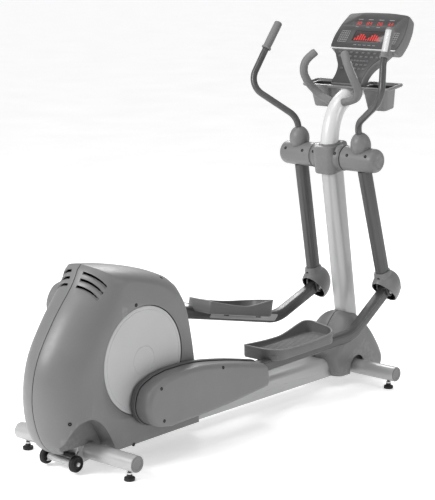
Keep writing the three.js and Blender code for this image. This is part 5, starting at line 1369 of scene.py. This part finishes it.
def kept_nodes():
    steel = ["crank_axle", "jackshaft", "generator_rotor", "pivot_shaft"]
    steel += [f"{part}_{side}" for part in ("crank_bearing", "crank_arm", "knuckle_pin")
        for side, _ in SIDES]
    looks = {**{name: STEEL for name in steel}, "wheel_bracket": SILVER, "drive_pulley": BLACK_PLASTIC,
        "generator_body": BLACK_PLASTIC, "drive_belt": BLACK_RUBBER, "generator_belt": BLACK_RUBBER}
    for name, look in looks.items():
        obj = frame["nodes"][name]
        obj.data.materials.clear()
        obj.data.materials.append(look)
        bevelled(obj, 0.0005)
        normals = obj.modifiers.new("normals", "WEIGHTED_NORMAL")
        normals.keep_sharp = True


# ---- studio


def studio():
    s = Surface("studio_floor")
    pale = s.ramp(s.noise(1.5, 3), [(0.3, (0.9, 0.9, 0.9)), (0.7, (0.94, 0.94, 0.94))])
    s.link(pale, s.shader.inputs["Base Color"])
    s.link(pale, s.shader.inputs["Emission Color"])
    s.shader.inputs["Emission Strength"].default_value = 0.42
    s.link(s.remap(s.noise(6, 3), 0.55, 0.65), s.shader.inputs["Roughness"])
    size = 150.0  # so large that its edge lies close to the horizon
    corners = [(x, y, 0) for x, y in oblong(-size, -size, size, size)]
    backdrop = make("studio_floor", corners, [(0, 1, 2, 3)])
    backdrop.data.materials.append(s.material)

    world = Surface("studio", bpy.data.worlds, "Background")
    bpy.context.scene.world = world.material
    split = world.node("ShaderNodeSeparateXYZ")
    world.link(world.texture["Generated"], split.inputs[0])
    sky = world.ramp(split.outputs["Z"], [(0.0, (0.62, 0.62, 0.62)), (0.9, (1, 1, 1))])
    world.link(sky, world.shader.inputs["Color"])
    world.shader.inputs["Strength"].default_value = 0.7

    for name, place, aim, width, power in (("key_light", (-4.6, 1.5, 3.3), (0, 0, 0.6), 1.5, 190),
            ("fill_light", (1.4, -4.6, 2.6), (0, 0, 0.6), 1.6, 32), ("rim_light", (2.8, 2.6, 3.4),
            (0, 0, 0.8), 1.6, 80), ("top_light", (-0.4, 0.2, 4.6), (0, 0, 0), 2.2, 45)):
        lamp = bpy.data.lights.new(name, "AREA")
        lamp.shape = "DISK"
        lamp.size = width
        lamp.energy = power
        obj = placed(name, lamp)
        obj.location = place
        obj.rotation_euler = (Vector(place) - Vector(aim)).to_track_quat("Z", "Y").to_euler()
    bpy.context.scene.view_settings.view_transform = "Standard"


def camera():
    """Behind and to the right of the machine, a little above it."""
    azimuth, elevation, place, lens = radians(-48.62), radians(11.11), (-3.889, -4.1169, 1.9093), 115.5
    data = bpy.data.cameras.new("camera")
    obj = placed("camera", data)
    ce, se = cos(elevation), sin(elevation)
    back = Vector((sin(azimuth) * ce, -cos(azimuth) * ce, se))
    right = Vector((cos(azimuth), sin(azimuth), 0))
    turn = Matrix((right, back.cross(right), back)).transposed().to_4x4()
    obj.matrix_world = Matrix.Translation(layout(*place)) @ turn
    data.sensor_fit = "VERTICAL"
    data.sensor_height = 36
    data.lens = lens
    data.shift_x, data.shift_y = -0.00154, 0.00062
    data.clip_end = 100
    bpy.context.scene.camera = obj


# ---- the whole machine

stabilisers()
feet()
transport_wheels()
spine()
mast()
collar()
console()
read_outs()
tray()
fixed_bars()
housing()
shroud()
discs()
swing_arms()
hub_joints()
links()
pedals()
screws()
kept_nodes()
studio()
camera()
